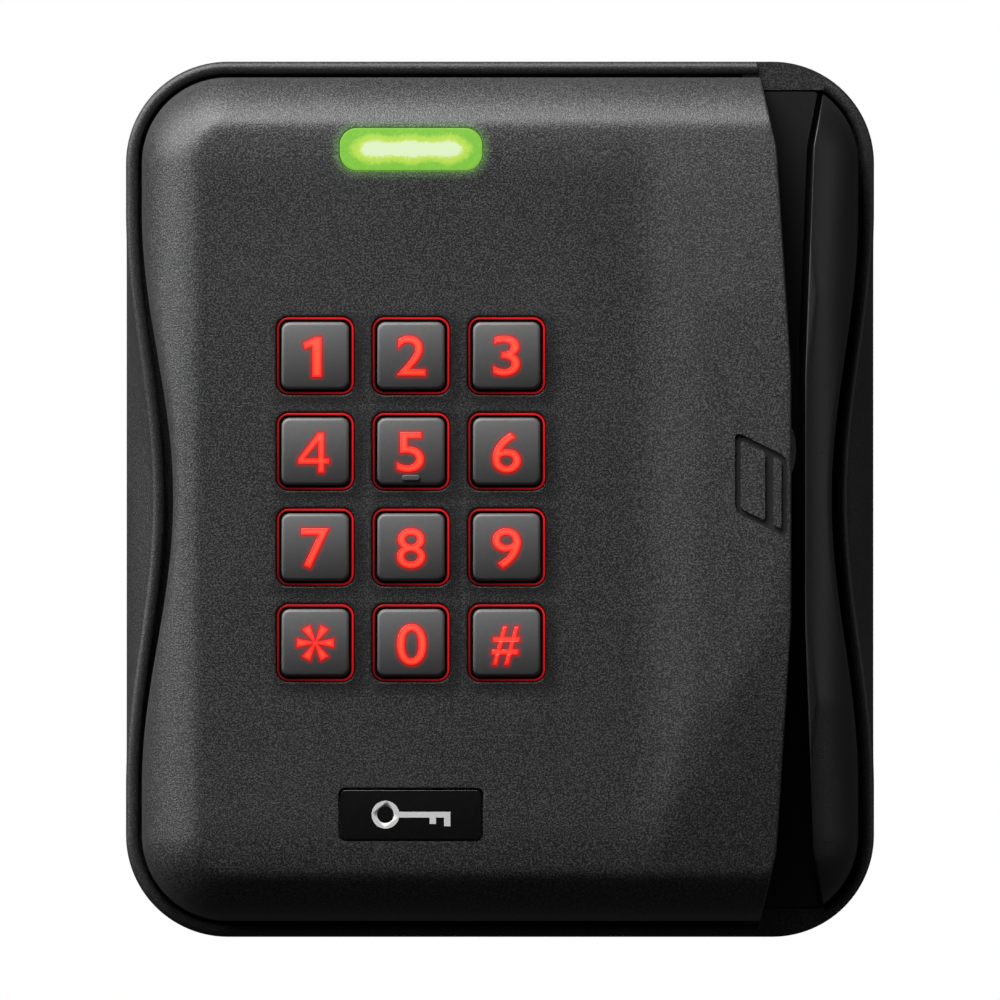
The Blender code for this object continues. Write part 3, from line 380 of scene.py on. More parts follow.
def noise(tree, vector, scale, detail=2.0, roughness=0.5):
    """The Fac output of a Noise Texture on a vector, its scale a number or a socket."""
    node = tree.nodes.new("ShaderNodeTexNoise")
    node.inputs["Detail"].default_value = detail
    node.inputs["Roughness"].default_value = roughness
    tree.links.new(vector, node.inputs["Vector"])
    if isinstance(scale, (int, float)):
        node.inputs["Scale"].default_value = scale
    else:
        tree.links.new(scale, node.inputs["Scale"])
    return node.outputs["Fac"]


def build_grain():
    """Grain: fine noise plus a share of finer noise as a height, and Glint, a mask of its highest points."""
    group, inner, outer = new_group(
        "moulded_grain",
        [("Scale", "NodeSocketFloat", 2200.0), ("Fine Share", "NodeSocketFloat", 0.4)],
        [("Height", "NodeSocketFloat"), ("Glint", "NodeSocketFloat")])
    where = group.nodes.new("ShaderNodeTexCoord").outputs["Object"]
    coarse = noise(group, where, inner.outputs["Scale"], 1.0)
    fine_scale = math_node(group, "MULTIPLY", inner.outputs["Scale"], 2.3)
    fine = noise(group, where, fine_scale, 1.0)
    height = math_node(group, "MULTIPLY_ADD", fine, inner.outputs["Fine Share"], coarse)
    high = group.nodes.new("ShaderNodeMapRange")
    high.interpolation_type = "SMOOTHSTEP"
    group.links.new(coarse, high.inputs["Value"])
    high.inputs["From Min"].default_value = 0.42
    high.inputs["From Max"].default_value = 0.68
    group.links.new(height, outer.inputs["Height"])
    group.links.new(high.outputs["Result"], outer.inputs["Glint"])
    return group


grain_group = build_grain()
print("grain has outputs", [s.name for s in grain_group.interface.items_tree if s.in_out == "OUTPUT"])

# %% [markdown]
# Handling leaves soft patches that are a little glossier or duller, some centimetres across, and a trace
# of dust. It is slow noise, so one group serves plastic, metal and rubber at different strengths.

# %% Node group: handling


def build_handling():
    """Handling: Patch is slow noise from 0 to 1, and Dust a mask of sparse small specks."""
    group, inner, outer = new_group(
        "handling", [("Patch Scale", "NodeSocketFloat", 45.0), ("Dust Scale", "NodeSocketFloat", 700.0)],
        [("Patch", "NodeSocketFloat"), ("Dust", "NodeSocketFloat")])
    where = group.nodes.new("ShaderNodeTexCoord").outputs["Object"]
    patch = noise(group, where, inner.outputs["Patch Scale"], 4.0, 0.6)
    specks = noise(group, where, inner.outputs["Dust Scale"], 2.0)
    dust = group.nodes.new("ShaderNodeMapRange")
    dust.interpolation_type = "SMOOTHSTEP"
    group.links.new(specks, dust.inputs["Value"])
    dust.inputs["From Min"].default_value = 0.7
    dust.inputs["From Max"].default_value = 0.78
    group.links.new(patch, outer.inputs["Patch"])
    group.links.new(dust.outputs["Result"], outer.inputs["Dust"])
    return group


handling_group = build_handling()
print("handling group built")

# %% [markdown]
# ## Materials
# A helper makes the common base: colour mixed between two close tones by the handling patches and the
# grain's glints, roughness moved a little by the same patches, and a bump from the grain. Each finish
# then has its own small function with its own numbers.

# %% Material base


def use_group(tree, group, **values):
    """A group node in a tree, with numbers for its named inputs."""
    node = tree.nodes.new("ShaderNodeGroup")
    node.node_tree = group
    for label, value in values.items():
        node.inputs[label.replace("_", " ")].default_value = value
    return node


def blend_colours(tree, amount, low, high):
    """A colour between two, by an amount from 0 to 1. low is a colour or a socket."""
    mix = tree.nodes.new("ShaderNodeMix")
    mix.data_type = "RGBA"
    if isinstance(low, tuple):
        mix.inputs["A"].default_value = (*low, 1)
    else:
        tree.links.new(low, mix.inputs["A"])
    mix.inputs["B"].default_value = (*high, 1)
    tree.links.new(amount, mix.inputs["Factor"])
    return mix.outputs["Result"]


def tint(material, amount, colour):
    """Mixes a colour into what a material's Base Color gets already, by an amount."""
    tree = material.node_tree
    base = tree.nodes["Principled BSDF"].inputs["Base Color"]
    tree.links.new(blend_colours(tree, amount, base.links[0].from_socket, colour), base)


def between(tree, amount, low, high):
    """A number from low to high as an amount goes from 0 to 1."""
    return math_node(tree, "MULTIPLY_ADD", amount, high - low, low)


def finish(name, low, high, roughness, grain_scale, grain_depth, metallic=0.0, glint=0.5, specular=0.5,
           patch_scale=45.0):
    """A moulded or worked surface: two tones, a pair of roughnesses, and a grain's scale and depth. glint is
    the grain's share in the mix of the tones, the rest is the handling patches'."""
    material = bpy.data.materials.new(name)
    material.use_nodes = True
    tree = material.node_tree
    shader = tree.nodes["Principled BSDF"]
    grain = use_group(tree, grain_group, Scale=grain_scale)
    handling = use_group(tree, handling_group, Patch_Scale=patch_scale)
    glints = math_node(tree, "MULTIPLY", grain.outputs["Glint"], glint)
    mask = math_node(tree, "MULTIPLY_ADD", handling.outputs["Patch"], 1 - glint, glints, clamp=True)
    tree.links.new(blend_colours(tree, mask, low, high), shader.inputs["Base Color"])
    gloss = between(tree, handling.outputs["Patch"], *roughness)
    dulled = math_node(tree, "MULTIPLY_ADD", handling.outputs["Dust"], 0.15, gloss)
    tree.links.new(dulled, shader.inputs["Roughness"])
    bump = tree.nodes.new("ShaderNodeBump")
    bump.inputs["Strength"].default_value = 1.0
    bump.inputs["Distance"].default_value = grain_depth
    tree.links.new(grain.outputs["Height"], bump.inputs["Height"])
    tree.links.new(bump.outputs["Normal"], shader.inputs["Normal"])
    shader.inputs["Metallic"].default_value = metallic
    shader.inputs["Specular IOR Level"].default_value = specular
    return material


def dress(piece, material):
    """Gives every face of a piece this material."""
    piece.data.materials.clear()
    piece.data.materials.append(material)
    return piece


COVER_GRAIN = 3600.0
cover_black = finish("fine_grain_charcoal", (0.01, 0.01, 0.0105), (0.085, 0.085, 0.087), (0.42, 0.5),
                     COVER_GRAIN, 0.07 * MM, glint=0.85)
housing_black = finish("housing_black", (0.007, 0.007, 0.0075), (0.05, 0.05, 0.051), (0.45, 0.55),
                       COVER_GRAIN, 0.06 * MM, glint=0.8)
sign_black = finish("smooth_sign_black", (0.01, 0.01, 0.0105), (0.016, 0.016, 0.017), (0.5, 0.6),
                    3000.0, 0.006 * MM)
rail_black = finish("rail_black", (0.005, 0.005, 0.0055), (0.016, 0.016, 0.017), (0.42, 0.52),
                    COVER_GRAIN, 0.03 * MM)
track_black = finish("smooth_track_black", (0.006, 0.006, 0.0065), (0.01, 0.01, 0.011), (0.42, 0.52),
                     3000.0, 0.004 * MM)
print("plastics:", [m.name for m in (cover_black, housing_black, track_black)])

# %% [markdown]
# ## The front cover
# A moulded shell. Its rows follow the height and its columns the width, from the outer edge to the slot.
# Columns crowd together at the edges, where the surface bends most. The inner skin is the same grid set
# in by the wall, and the two are joined round the foot, so the shell is closed and the windows cut
# through it show its thickness.

# %% Cover grid


def crowded(count, ends):
    """Places from 0 to 1 that crowd at both ends: a blend of even steps and a cosine."""
    even = np.linspace(0, 1, count)
    return (1 - ends) * even + ends * 0.5 * (1 - np.cos(np.pi * even))


def side_of_plan(z, inset, hollow):
    """The plan's side at each height: straight, then a quarter circle, all drawn in by the swell."""
    radius = CORNER - inset
    half_x, straight = WIDTH / 2 - inset, TALL / 2 - inset - radius
    up = np.clip(np.abs(z) - straight, 0, radius)
    return half_x - radius + np.sqrt(np.clip(radius ** 2 - up ** 2, 0, None)) - hollow * swell(z)


def plan_rows(inset, corner_rows=26, straight_rows=120):
    """Heights of the grid's rows: even along the straight side, by equal turns round the corners."""
    radius = CORNER - inset
    straight = TALL / 2 - inset - radius
    turn = np.linspace(0, np.pi / 2, corner_rows + 1)[1:]
    upper = straight + radius * np.sin(turn)
    return np.concatenate([-upper[::-1], np.linspace(-straight, straight, straight_rows + 1), upper])


def rail_end(inset, hollow, lower):
    """How far up the rail reaches: the height at which its outline has come in to the slot's edge."""
    z = np.linspace(0, TALL / 2 - inset, 3000)
    return z[side_of_plan(z, inset, hollow) - slot_right(z) - lower > 0.2 * MM].max()


def shell_side(inset, hollow, side, columns, lower, edge_round, slot_round):
    """Grid of one skin's points. side -1 runs from the left to the slot, +1 from the slot to the right."""
    z = plan_rows(inset)[:, None]
    if side > 0:
        z = z * rail_end(inset, hollow, lower) / z.max()
    outer = side * side_of_plan(z, inset, hollow)
    share = crowded(columns, 0.75)[None, :]
    if side < 0:
        slot = slot_left(z) - lower
        x = outer + (slot - outer) * share
        from_slot = slot - x
    else:
        slot = slot_right(z) + lower
        x = slot + (outer - slot) * share
        from_slot = x - slot
    z = np.broadcast_to(z, x.shape)
    from_side = np.minimum(edge_distance(x, z, inset), np.abs(outer - x))
    height = front_height(x, z, lower)
    height = height - rounded_off(from_side, edge_round) - rounded_off(from_slot, slot_round)
    return x, z, height


def shell(name, side, columns, wall, foot, edge_round, slot_round):
    """A closed shell: the outer skin and the inner one, both brought down to the foot and joined there."""
    def skin_and_foot(inset, lower):
        """A skin's points, and its edge brought down to the foot."""
        points = place(*shell_side(inset, hollow, side, columns, lower, edge_round, slot_round))
        low = np.concatenate([points[0], points[1:, -1], points[-1, -2::-1], points[-2:0:-1, 0]])
        low[:, 1] = -foot
        return points, low

    hollow = COVER_HOLLOW if side < 0 else RAIL_HOLLOW
    outer, outer_foot = skin_and_foot(COVER_INSET, 0.0)
    inner, inner_foot = skin_and_foot(COVER_INSET + wall, wall)
    rows, wide = outer.shape[:2]
    index = np.arange(rows * wide).reshape(rows, wide)
    loop = np.concatenate([index[0], index[1:, -1], index[-1, -2::-1], index[-2:0:-1, 0]])
    ahead = np.roll(loop, -1)
    skin = rows * wide
    feet = 2 * skin + np.arange(len(loop))
    feet_ahead = np.roll(feet, -1)
    inner_feet, inner_feet_ahead = feet + len(loop), feet_ahead + len(loop)
    faces = np.concatenate([
        grid_faces(rows, wide),
        grid_faces(rows, wide, start=skin),
        np.stack([loop, feet, feet_ahead, ahead], -1),
        np.stack([loop + skin, inner_feet, inner_feet_ahead, ahead + skin], -1),
        np.stack([feet, inner_feet, inner_feet_ahead, feet_ahead], -1),
    ])
    points = np.concatenate([outer.reshape(-1, 3), inner.reshape(-1, 3), outer_foot, inner_foot])
    return add_mesh(name, points, faces)


cover = shell("cover_shell", -1, 128, COVER_WALL, SEAT, 1.8 * MM, 0.4 * MM)
print("cover grid:", len(cover.data.polygons), "faces")

# %% [markdown]
# The windows are cut with tools that flare at the face, so each gets the small round lip of a moulding.
# The tool is a loft of the window's outline: straight through the wall, then opening out along a quarter
# circle.

# %% Window tools


def flared_tool(x, z, width, height, corner, low, face, lip, floor_round=0.0):
    """A loft of a rounded rectangle that opens out by lip along a quarter circle just below face. floor_round
    draws the bottom in, for a pocket with a soft corner."""
    rings = []
    if floor_round:
        for turn in np.linspace(0, np.pi / 2, 4):
            grow = floor_round * (np.sin(turn) - 1)
            rings.append((grow, low + floor_round * (1 - np.cos(turn))))
    else:
        rings.append((0.0, low))
    rings += [(grow, face - drop) for grow, drop in quarter(lip, 6)]
    rings.append((lip * 1.02, face + 8 * MM))
    return lofted("tool", [
        place(*rounded(x, z, width + 2 * g, height + 2 * g, corner + g), h) for g, h in rings])


keys = {n[4:]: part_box(n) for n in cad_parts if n.startswith("key_")}
key_middle = {n: middle(*box) for n, box in keys.items()}
WINDOW = 13.6 * MM
BELOW_FACE = 28 * MM
tools = [flared_tool(x, z, WINDOW, WINDOW, 2.2 * MM, BELOW_FACE, FACE, 0.25 * MM)
         for x, z in key_middle.values()]
print(len(tools), "key windows,", round(WINDOW / MM, 1), "mm square")

# %% [markdown]
# The status window straddles the top crease, so its lip follows the surface: the tool's rings near the
# face take their height from the front itself.

# %% Status window and badge pocket
lens_low, lens_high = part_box("status_lens")
LENS_X, LENS_Z = middle(lens_low, lens_high)
LENS_W, LENS_H = lens_high.x - lens_low.x, lens_high.z - lens_low.z
LENS_CORNER = 3.0 * MM
LENS_GAP = 0.1 * MM


def lens_window():
    """A loft over the lens outline: straight to just below the surface, then out over a small round lip."""
    lip = 0.2 * MM
    steps = [(0.0, None)] + quarter(lip, 6) + [(lip * 1.02, -6 * MM)]
    rings = []
    for grow, drop in steps:
        grow = LENS_GAP + grow
        x, z = rounded(LENS_X, LENS_Z, LENS_W + 2 * grow, LENS_H + 2 * grow, LENS_CORNER + grow)
        height = np.full_like(x, BELOW_FACE) if drop is None else front_height(x, z) - drop
        rings.append(place(x, z, height))
    return lofted("tool", rings)


badge_low, badge_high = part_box("badge_plate")
BADGE_X, BADGE_Z = middle(badge_low, badge_high)
BADGE_W, BADGE_H = 25.0 * MM, 9.15 * MM
POCKET_FLOOR = FACE - 0.9 * MM
tools.append(lens_window())
tools.append(flared_tool(BADGE_X, BADGE_Z, BADGE_W, BADGE_H, 1.2 * MM, POCKET_FLOOR, FACE, 0.15 * MM))
print("status window", round(LENS_W / MM, 1), "x", round(LENS_H / MM, 1), "mm")

# %% [markdown]
# The card sign is a leaning card sunk into the cover beside the slot, to show which way the stripe faces.
# Its tool is the leaning outline less two islands, and its floor follows the arch at an even depth.

# %% Card sign
SIGN_LEFT, SIGN_WIDTH = 40.5 * MM, 9.0 * MM
SIGN_TOP, SIGN_SIDE, SIGN_SLANT = 11.8 * MM, 14.0 * MM, 4.5 * MM
SIGN_LINE, SIGN_DEPTH = 1.0 * MM, 0.55 * MM


def leaning(x0, x1, set_in, radius):
    """A parallelogram with upright sides and sloping ends, its corners turned by quadratic curves."""
    def top(x):
        """The height of the sloping top at x."""
        return SIGN_TOP - SIGN_SLANT * (x - SIGN_LEFT) / SIGN_WIDTH

    corners = np.array([(x0, top(x0) - SIGN_SIDE + set_in), (x1, top(x1) - SIGN_SIDE + set_in),
                        (x1, top(x1) - set_in), (x0, top(x0) - set_in)])
    before = np.roll(corners, 1, 0) - corners
    after = np.roll(corners, -1, 0) - corners
    before *= radius / np.linalg.norm(before, axis=1, keepdims=True)
    after *= radius / np.linalg.norm(after, axis=1, keepdims=True)
    share = np.linspace(0, 1, 8)[None, :, None]
    curve = corners[:, None] + before[:, None] * (1 - share) ** 2 + after[:, None] * share ** 2
    flat = curve.reshape(-1, 2)
    return flat[:, 0], flat[:, 1]


def sign_body(flat_outline, low_drop, high_rise):
    """A body over an outline whose bottom and top run parallel to the front surface."""
    x, z = flat_outline
    base = front_height(x, z)
    return lofted("tool", [place(x, z, base - low_drop), place(x, z, base + high_rise)])


STRIPE_FROM, STRIPE_WIDTH = SIGN_LEFT + 5.2 * MM, 1.4 * MM
sign_tool = sign_body(leaning(SIGN_LEFT, SIGN_LEFT + SIGN_WIDTH, 0.0, 1.5 * MM), SIGN_DEPTH, 2 * MM)
panel = leaning(SIGN_LEFT + SIGN_LINE, STRIPE_FROM, SIGN_LINE * 1.1, 0.7 * MM)
strip = leaning(STRIPE_FROM + STRIPE_WIDTH, SIGN_LEFT + SIGN_WIDTH - SIGN_LINE, SIGN_LINE * 1.1, 0.5 * MM)
for island in (panel, strip):
    carve(sign_tool, sign_body(island, SIGN_DEPTH * 2, 3 * MM))
tools.append(sign_tool)
carve(cover, joined("cover_tools", tools))
print("cover after its windows:", len(cover.data.polygons), "faces")

# %% [markdown]
# Where the cover stands beside the slot's floor its foot is cut away, and the read head looks through a
# window in the slot's left wall. The sunk lines of the card sign get a smooth, darker finish than the
# grained face.

# %% Cover base and head window
track_low, track_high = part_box("card_track")
head_low, head_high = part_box("mag_head")


def box_body(x0, x1, z0, z1, low, high):
    """A plain block between two x, two z and two heights off the wall."""
    return slab("tool", (np.array([x0, x1, x1, x0]), np.array([z0, z0, z1, z1])), low, high)


BASE_TOP = SLOT_FLOOR + FIT
END_LEFT = 42.0 * MM
carve(cover, box_body(track_low.x - FIT, WIDTH, track_low.z - FIT, track_high.z + FIT, 0, BASE_TOP))
for z0, z1 in ((track_high.z, TALL), (-TALL, track_low.z)):
    carve(cover, box_body(END_LEFT - FIT, WIDTH, z0, z1, 1 * MM, BASE_TOP))
carve(cover, box_body(SLOT_EDGE[0, 1] - 4 * MM, SLOT_EDGE[0, 1] + 1 * MM, head_low.z - FIT, head_high.z + FIT,
                      -head_high.y - FIT, -head_low.y + FIT))
shade(cover.data, 32)
dress(cover, cover_black)
x, y, z = read_points(cover.data.polygons, "center").T
sunk = (front_height(x, z) + y > 0.06 * MM) & (y < -30 * MM)
in_sign = np.abs(x - SIGN_LEFT - SIGN_WIDTH / 2) < SIGN_WIDTH / 2 + 0.05 * MM
in_sign &= np.abs(z) < SIGN_TOP + 4 * MM
cover.data.materials.append(sign_black)
cover.data.polygons.foreach_set("material_index", (sunk & in_sign).astype(np.int32))
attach(cover, "reader")
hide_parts("front_cover")
print("cover finished:", len(cover.data.polygons), "faces")

# %% [markdown]
# ## The rail
# The slot's outer wall carries on the same front form, so it uses the same function on the other side of
# the slot. Its left edge has a tight round, which catches the light as a thin bright line.

# %% Rail
RAIL_WALL = 1.5 * MM
rail = shell("rail_shell", 1, 40, RAIL_WALL, BASE_TOP, 1.0 * MM, 0.3 * MM)
dress(rail, rail_black)
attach(rail, "reader")
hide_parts("rail_cover")
print("rail:", len(rail.data.polygons), "faces")

# %% [markdown]
# ## The rear housing
# One loft makes the tray. Its section starts at the back of the floor, goes round the skirt's rear edge,
# up the hollowed side, over the half-round bead, down the groove and out along the ledge to the floor's
# front. The hollow grows along a quarter cosine, so the side meets the wall at a right angle and leans in
# under the bead.

# %% Housing loft
LEDGE_SPARE = 0.9 * MM
side_from = SKIRT_BACK + BACK_ROUND
side_to = RIM_HEIGHT - BEAD_RISE
cavity = COVER_INSET + COVER_WALL + LEDGE_SPARE
sections = [(SKIRT_WALL, 0.0, FLOOR_BACK), (SKIRT_WALL, 0.0, SKIRT_BACK)]
for turn in np.linspace(0, np.pi / 2, 6):
    sections.append((BACK_ROUND * (1 - np.sin(turn)), 0.0, side_from - BACK_ROUND * np.cos(turn)))
for share in np.linspace(0, 1, 15)[1:]:
    hollow = HOLLOW_DEPTH * (1 - np.cos(share * np.pi / 2))
    sections.append((0.0, hollow, side_from + share * (side_to - side_from)))
for turn in np.linspace(0, np.pi, 13)[1:]:
    sections.append((BEAD / 2 * (1 - np.cos(turn)), HOLLOW_DEPTH, side_to + BEAD_RISE * np.sin(turn)))
sections += [(BEAD, HOLLOW_DEPTH, LEDGE_HEIGHT), (cavity, COVER_HOLLOW, LEDGE_HEIGHT),
             (cavity, COVER_HOLLOW, FLOOR_FRONT)]
housing = lofted("housing_shell", [ring(s) for s in sections])
print("housing loft:", len(sections), "rings")

# %% [markdown]
# The slot runs out at both ends, so a block fills the ledge there and the slot's mouth is cut through
# bead and block together. The holes for the cable and the screws go in last.

# %% Housing cuts
HOOK_X, CATCH_HALF = 30.0 * MM, 6.0 * MM
blocks = [box_body(END_LEFT, WIDTH, track_high.z + FIT, TALL, FLOOR_BACK + FIT, SLOT_FLOOR),
          box_body(END_LEFT, WIDTH, -TALL, track_low.z - FIT, FLOOR_BACK + FIT, SLOT_FLOOR)]
ends = joined("end_blocks", blocks)
carve(ends, slab("trim", outline(BEAD / 2, HOLLOW_DEPTH), 0, 1.0), "INTERSECT")
carve(housing, ends, "UNION")
catches = [box_body(x - CATCH_HALF, x + CATCH_HALF, 62.3 * MM, 73.5 * MM, 1.9 * MM, 3.5 * MM)
           for x in (-HOOK_X, HOOK_X)]
carve(housing, joined("catches", catches), "UNION")
edge_z = np.concatenate([-SLOT_EDGE[::-1, 0], SLOT_EDGE[1:, 0]])
mouth_z = np.concatenate([edge_z, edge_z[::-1]])
mouth_x = np.concatenate([slot_left(edge_z), slot_right(edge_z[::-1])])
holes = [slab("tool", (mouth_x, mouth_z), SLOT_FLOOR, 0.1)]
for number in (1, 2, 3, 4):
    screw = circle(*middle(*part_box(f"case_screw_{number}")), 1.7 * MM)
    holes.append(slab("tool", screw, 0, FLOOR_FRONT + FIT))
cable_z = middle(*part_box("cable_grommet"))[1]
holes.append(slab("tool", circle(0.0, cable_z, 9.0 * MM, 64), 0, FLOOR_FRONT + FIT))
carve(housing, joined("housing_holes", holes))


def upright(radius, low, high, height):
    """A round body along Z at x = 0 and a height off the wall."""
    x, y = circle(0.0, -height, radius)
    return lofted("tool", [np.stack([x, y, np.full_like(x, z)], -1) for z in (low, high)])


LOCK_HEIGHT = 5.0 * MM
for radius, depth in ((2.5 * MM, 2.1 * MM), (1.55 * MM, 6.3 * MM)):
    carve(housing, upright(radius, -TALL / 2 - 2 * MM, -TALL / 2 + depth, LOCK_HEIGHT))
shade(housing.data, 35)
dress(housing, housing_black)
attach(housing, "reader")
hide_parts("rear_housing")
print("housing finished:", len(housing.data.polygons), "faces")

# %% [markdown]
# ## Keys
# A cap is a loft of rounded squares: flange, straight side, a quarter-round edge, then rings that shrink
# to the middle over a slight crown. The crown is what gives a flat-looking key its shading from top to
# bottom. The number shines through the cap, so the plastic round it glows. The glow is stored at the
# points as the bell curve of their distance to the number's outline, and the key's material turns it into
# light.

# %% Number shapes
CROWN_UP, CROWN_ACROSS = 0.85 * MM, 0.2 * MM
KEY_ROUND = 0.5 * MM
KEY_FLANGE = 0.85 * MM
KEY_CORNER = 1.4 * MM
LEGEND_PROUD = 0.02 * MM
GLOW_REACH = 0.36 * MM
key_top = -keys["5"][0].y
flange_back = -keys["5"][1].y
KEY_SIZE = keys["5"][1].x - keys["5"][0].x - 2 * KEY_FLANGE - 0.3 * MM
ONE = ((-0.5, 0.35), (0.1, 0.49), (0.12, 0.5), (0.48, 0.5), (0.48, -0.5), (-0.03, -0.5), (-0.03, 0.27),
       (-0.41, 0.19))
FOUR = ((0.34, 0.5), (0.15, 0.27), (-0.27, -0.14), (0.15, -0.14), (0.34, -0.14), (0.5, -0.14), (0.5, -0.28),
        (0.34, -0.28), (0.34, -0.5), (0.15, -0.5), (0.15, -0.28), (-0.5, -0.28), (-0.5, -0.16), (0.14, 0.5))
LEGENDS = {
    "1": (None, 3.2, 6.9, -0.5, -0.2), "2": ("2", 4.9, 6.9, 0.1, 0.0), "3": ("3", 4.6, 6.9, 0.0, 0.0),
    "4": (None, 5.4, 6.9, -0.3, -0.2), "5": ("5", 4.7, 6.9, -0.1, -0.1), "6": ("6", 4.9, 6.9, 0.0, -0.2),
    "7": ("7", 4.8, 6.9, 0.0, -0.2), "8": ("8", 4.9, 6.9, 0.0, -0.2), "9": ("9", 4.9, 6.9, 0.0, -0.2),
    "star": (None, 6.4, 6.2, 0.0, 0.0), "0": ("0", 5.1, 7.1, 0.1, -0.3), "hash": ("#", 4.9, 6.6, -0.15, -0.5),
}


def crown(x, z):
    """How far a key's top has dropped at a place: a parabola each way, deeper towards the top and bottom."""
    return (CROWN_ACROSS * x ** 2 + CROWN_UP * z ** 2) / (KEY_SIZE / 2) ** 2


def star_shape():
    """Six arms that widen outwards, as one flat outline: narrow near the middle, wide at the tip."""
    angles = np.arange(6) * np.pi / 3
    along = np.stack([np.cos(angles), np.sin(angles)], -1)
    side = np.stack([-along[:, 1], along[:, 0]], -1)
    notch_angle = angles + np.pi / 6
    notch = np.stack([np.cos(notch_angle), np.sin(notch_angle)], -1) * 0.12
    points = np.stack([along - side * 0.25, along + side * 0.25, notch], 1).reshape(-1, 2)
    return points


def flat_glyph(name, text, width, height):
    """A flat mesh of a glyph in x and z about the middle, stretched to a width and height in millimetres. The
    star, 1 and 4 are drawn here: the font's 1 is a bare bar and its 4 two strokes that overlap."""
    if text is None:
        points = star_shape() if name == "star" else np.array({"1": ONE, "4": FOUR}[name])
        faces = [list(range(len(points)))]
        if name == "4":
            faces.append([0, 4, 3, 1])
        mesh = bpy.data.meshes.new("glyph")
        mesh.from_pydata(np.insert(points, 2, 0, axis=1).tolist(), [], faces)
    else:
        curve = bpy.data.curves.new("glyph", "FONT")
        curve.body = text
        curve.offset = 0.012
        curve.resolution_u = 8
        if text == "#":
            curve.shear = 0.12
        holder = bpy.data.objects.new("glyph", curve)
        mesh = bpy.data.meshes.new_from_object(holder)
        bpy.data.objects.remove(holder)
    work = bmesh.new()
    work.from_mesh(mesh)
    bpy.data.meshes.remove(mesh)
    bmesh.ops.remove_doubles(work, verts=work.verts, dist=1e-5)
    flat = np.array([v.co[:2] for v in work.verts])
    low, high = flat.min(0), flat.max(0)
    flat = (flat - (low + high) / 2) / (high - low) * (width * MM, height * MM)
    for vertex, (x, z) in zip(work.verts, flat):
        vertex.co = (x, 0, z)
    return work


def cut_fine(work, step):
    """Cuts a flat mesh along a square grid of lines, so that it can follow a curved surface."""
    reach = int(4 * MM / step)
    for axis in ((1, 0, 0), (0, 0, 1)):
        for k in range(-reach, reach + 1):
            place = np.array(axis) * k * step
            bmesh.ops.bisect_plane(work, geom=work.verts[:] + work.edges[:] + work.faces[:], dist=1e-8,
                                   plane_co=place, plane_no=axis)


def rim_points(work, spacing):
    """Points along the outline of a flat mesh, evenly spaced."""
    ends = np.array([[e.verts[0].co, e.verts[1].co] for e in work.edges if len(e.link_faces) == 1])[:, :, ::2]
    length = np.linalg.norm(ends[:, 1] - ends[:, 0], axis=1)
    count = np.maximum(np.ceil(length / spacing).astype(int), 1)
    which = np.repeat(np.arange(len(ends)), count)
    first = np.cumsum(count) - count
    share = ((np.arange(len(which)) - first[which] + 0.5) / count[which])[:, None]
    return ends[which, 0] * (1 - share) + ends[which, 1] * share


def nearest(points, targets):
    """Each point's distance to its nearest target."""
    gaps = points[:, None] - targets[None]
    return np.sqrt((gaps ** 2).sum(-1).min(1))


def store(mesh, name, values):
    """A number at each point of a mesh, for its material to read."""
    attribute = mesh.attributes.new(name, "FLOAT", "POINT")
    attribute.data.foreach_set("value", np.asarray(values, np.float32))


print("crown drops", round(float(crown(0, KEY_SIZE / 2)) / MM, 2), "mm at a key's upper side")

# %% [markdown]
# The legend is its own thin piece, sunk into the cap and following its crown. Cutting its flat shape
# along a fine grid gives it inner points, and each keeps its distance to the outline, so the middle of a
# stroke can be hotter.

# %% Legends and caps


def legend(name):
    """A key's number as a closed, thin body that follows the crown, and the points of its outline."""
    text, width, height, x, z = LEGENDS[name]
    work = flat_glyph(name, text, width, height)
    outline_points = rim_points(work, 0.06 * MM) + (x * MM, z * MM)
    cut_fine(work, 0.3 * MM)
    top = work.faces[:]
    made = bmesh.ops.extrude_face_region(work, geom=top)
    raised = {v for v in made["geom"] if isinstance(v, bmesh.types.BMVert)}
    centre_x, centre_z = key_middle[name]
    for vertex in work.verts:
        px, pz = vertex.co.x + x * MM, vertex.co.z + z * MM
        depth = LEGEND_PROUD if vertex in raised else -0.25 * MM
        vertex.co = (centre_x + px, -(key_top - crown(px, pz) + depth), centre_z + pz)
    bmesh.ops.recalc_face_normals(work, faces=work.faces)
    mesh = bpy.data.meshes.new(f"legend_{name}")
    work.to_mesh(mesh)
    work.free()
    piece = bpy.data.objects.new(mesh.name, mesh)
    bpy.context.scene.collection.objects.link(piece)
    flat = read_points(mesh.vertices)[:, ::2] - (centre_x, centre_z)
    store(mesh, "inside", nearest(flat, outline_points))
    return piece, outline_points


def cap(name, outline_points):
    """A key cap as a loft of rounded squares, with its glow stored at its points."""
    flange_front = flange_back + 1.6 * MM
    sections = [(-KEY_FLANGE, flange_back, 0), (-KEY_FLANGE, flange_front, 0), (0.0, flange_front, 0)]
    sections += [(inset, key_top - drop, 1) for inset, drop in quarter(KEY_ROUND, 8)]
    sections += [(inset, key_top, 1) for inset in np.linspace(KEY_ROUND, KEY_SIZE / 2 - 0.1 * MM, 22)[1:]]
    centre_x, centre_z = key_middle[name]
    rings = []
    for inset, height, crowned in sections:
        size = KEY_SIZE - 2 * inset
        x, z = even_outline(size, size, min(max(KEY_CORNER - inset, 0.3 * MM), size / 2.01), 14, 168)
        rings.append(place(centre_x + x, centre_z + z, height - crowned * crown(x, z)))
    piece = lofted(f"cap_{name}", rings, 40)
    flat = read_points(piece.data.vertices)[:, ::2] - (centre_x, centre_z)
    store(piece.data, "glow", np.exp(-(nearest(flat, outline_points) / GLOW_REACH) ** 2))
    return piece


def read_number(tree, name):
    """The stored number of that name."""
    node = tree.nodes.new("ShaderNodeAttribute")
    node.attribute_name = name
    return node.outputs["Fac"]


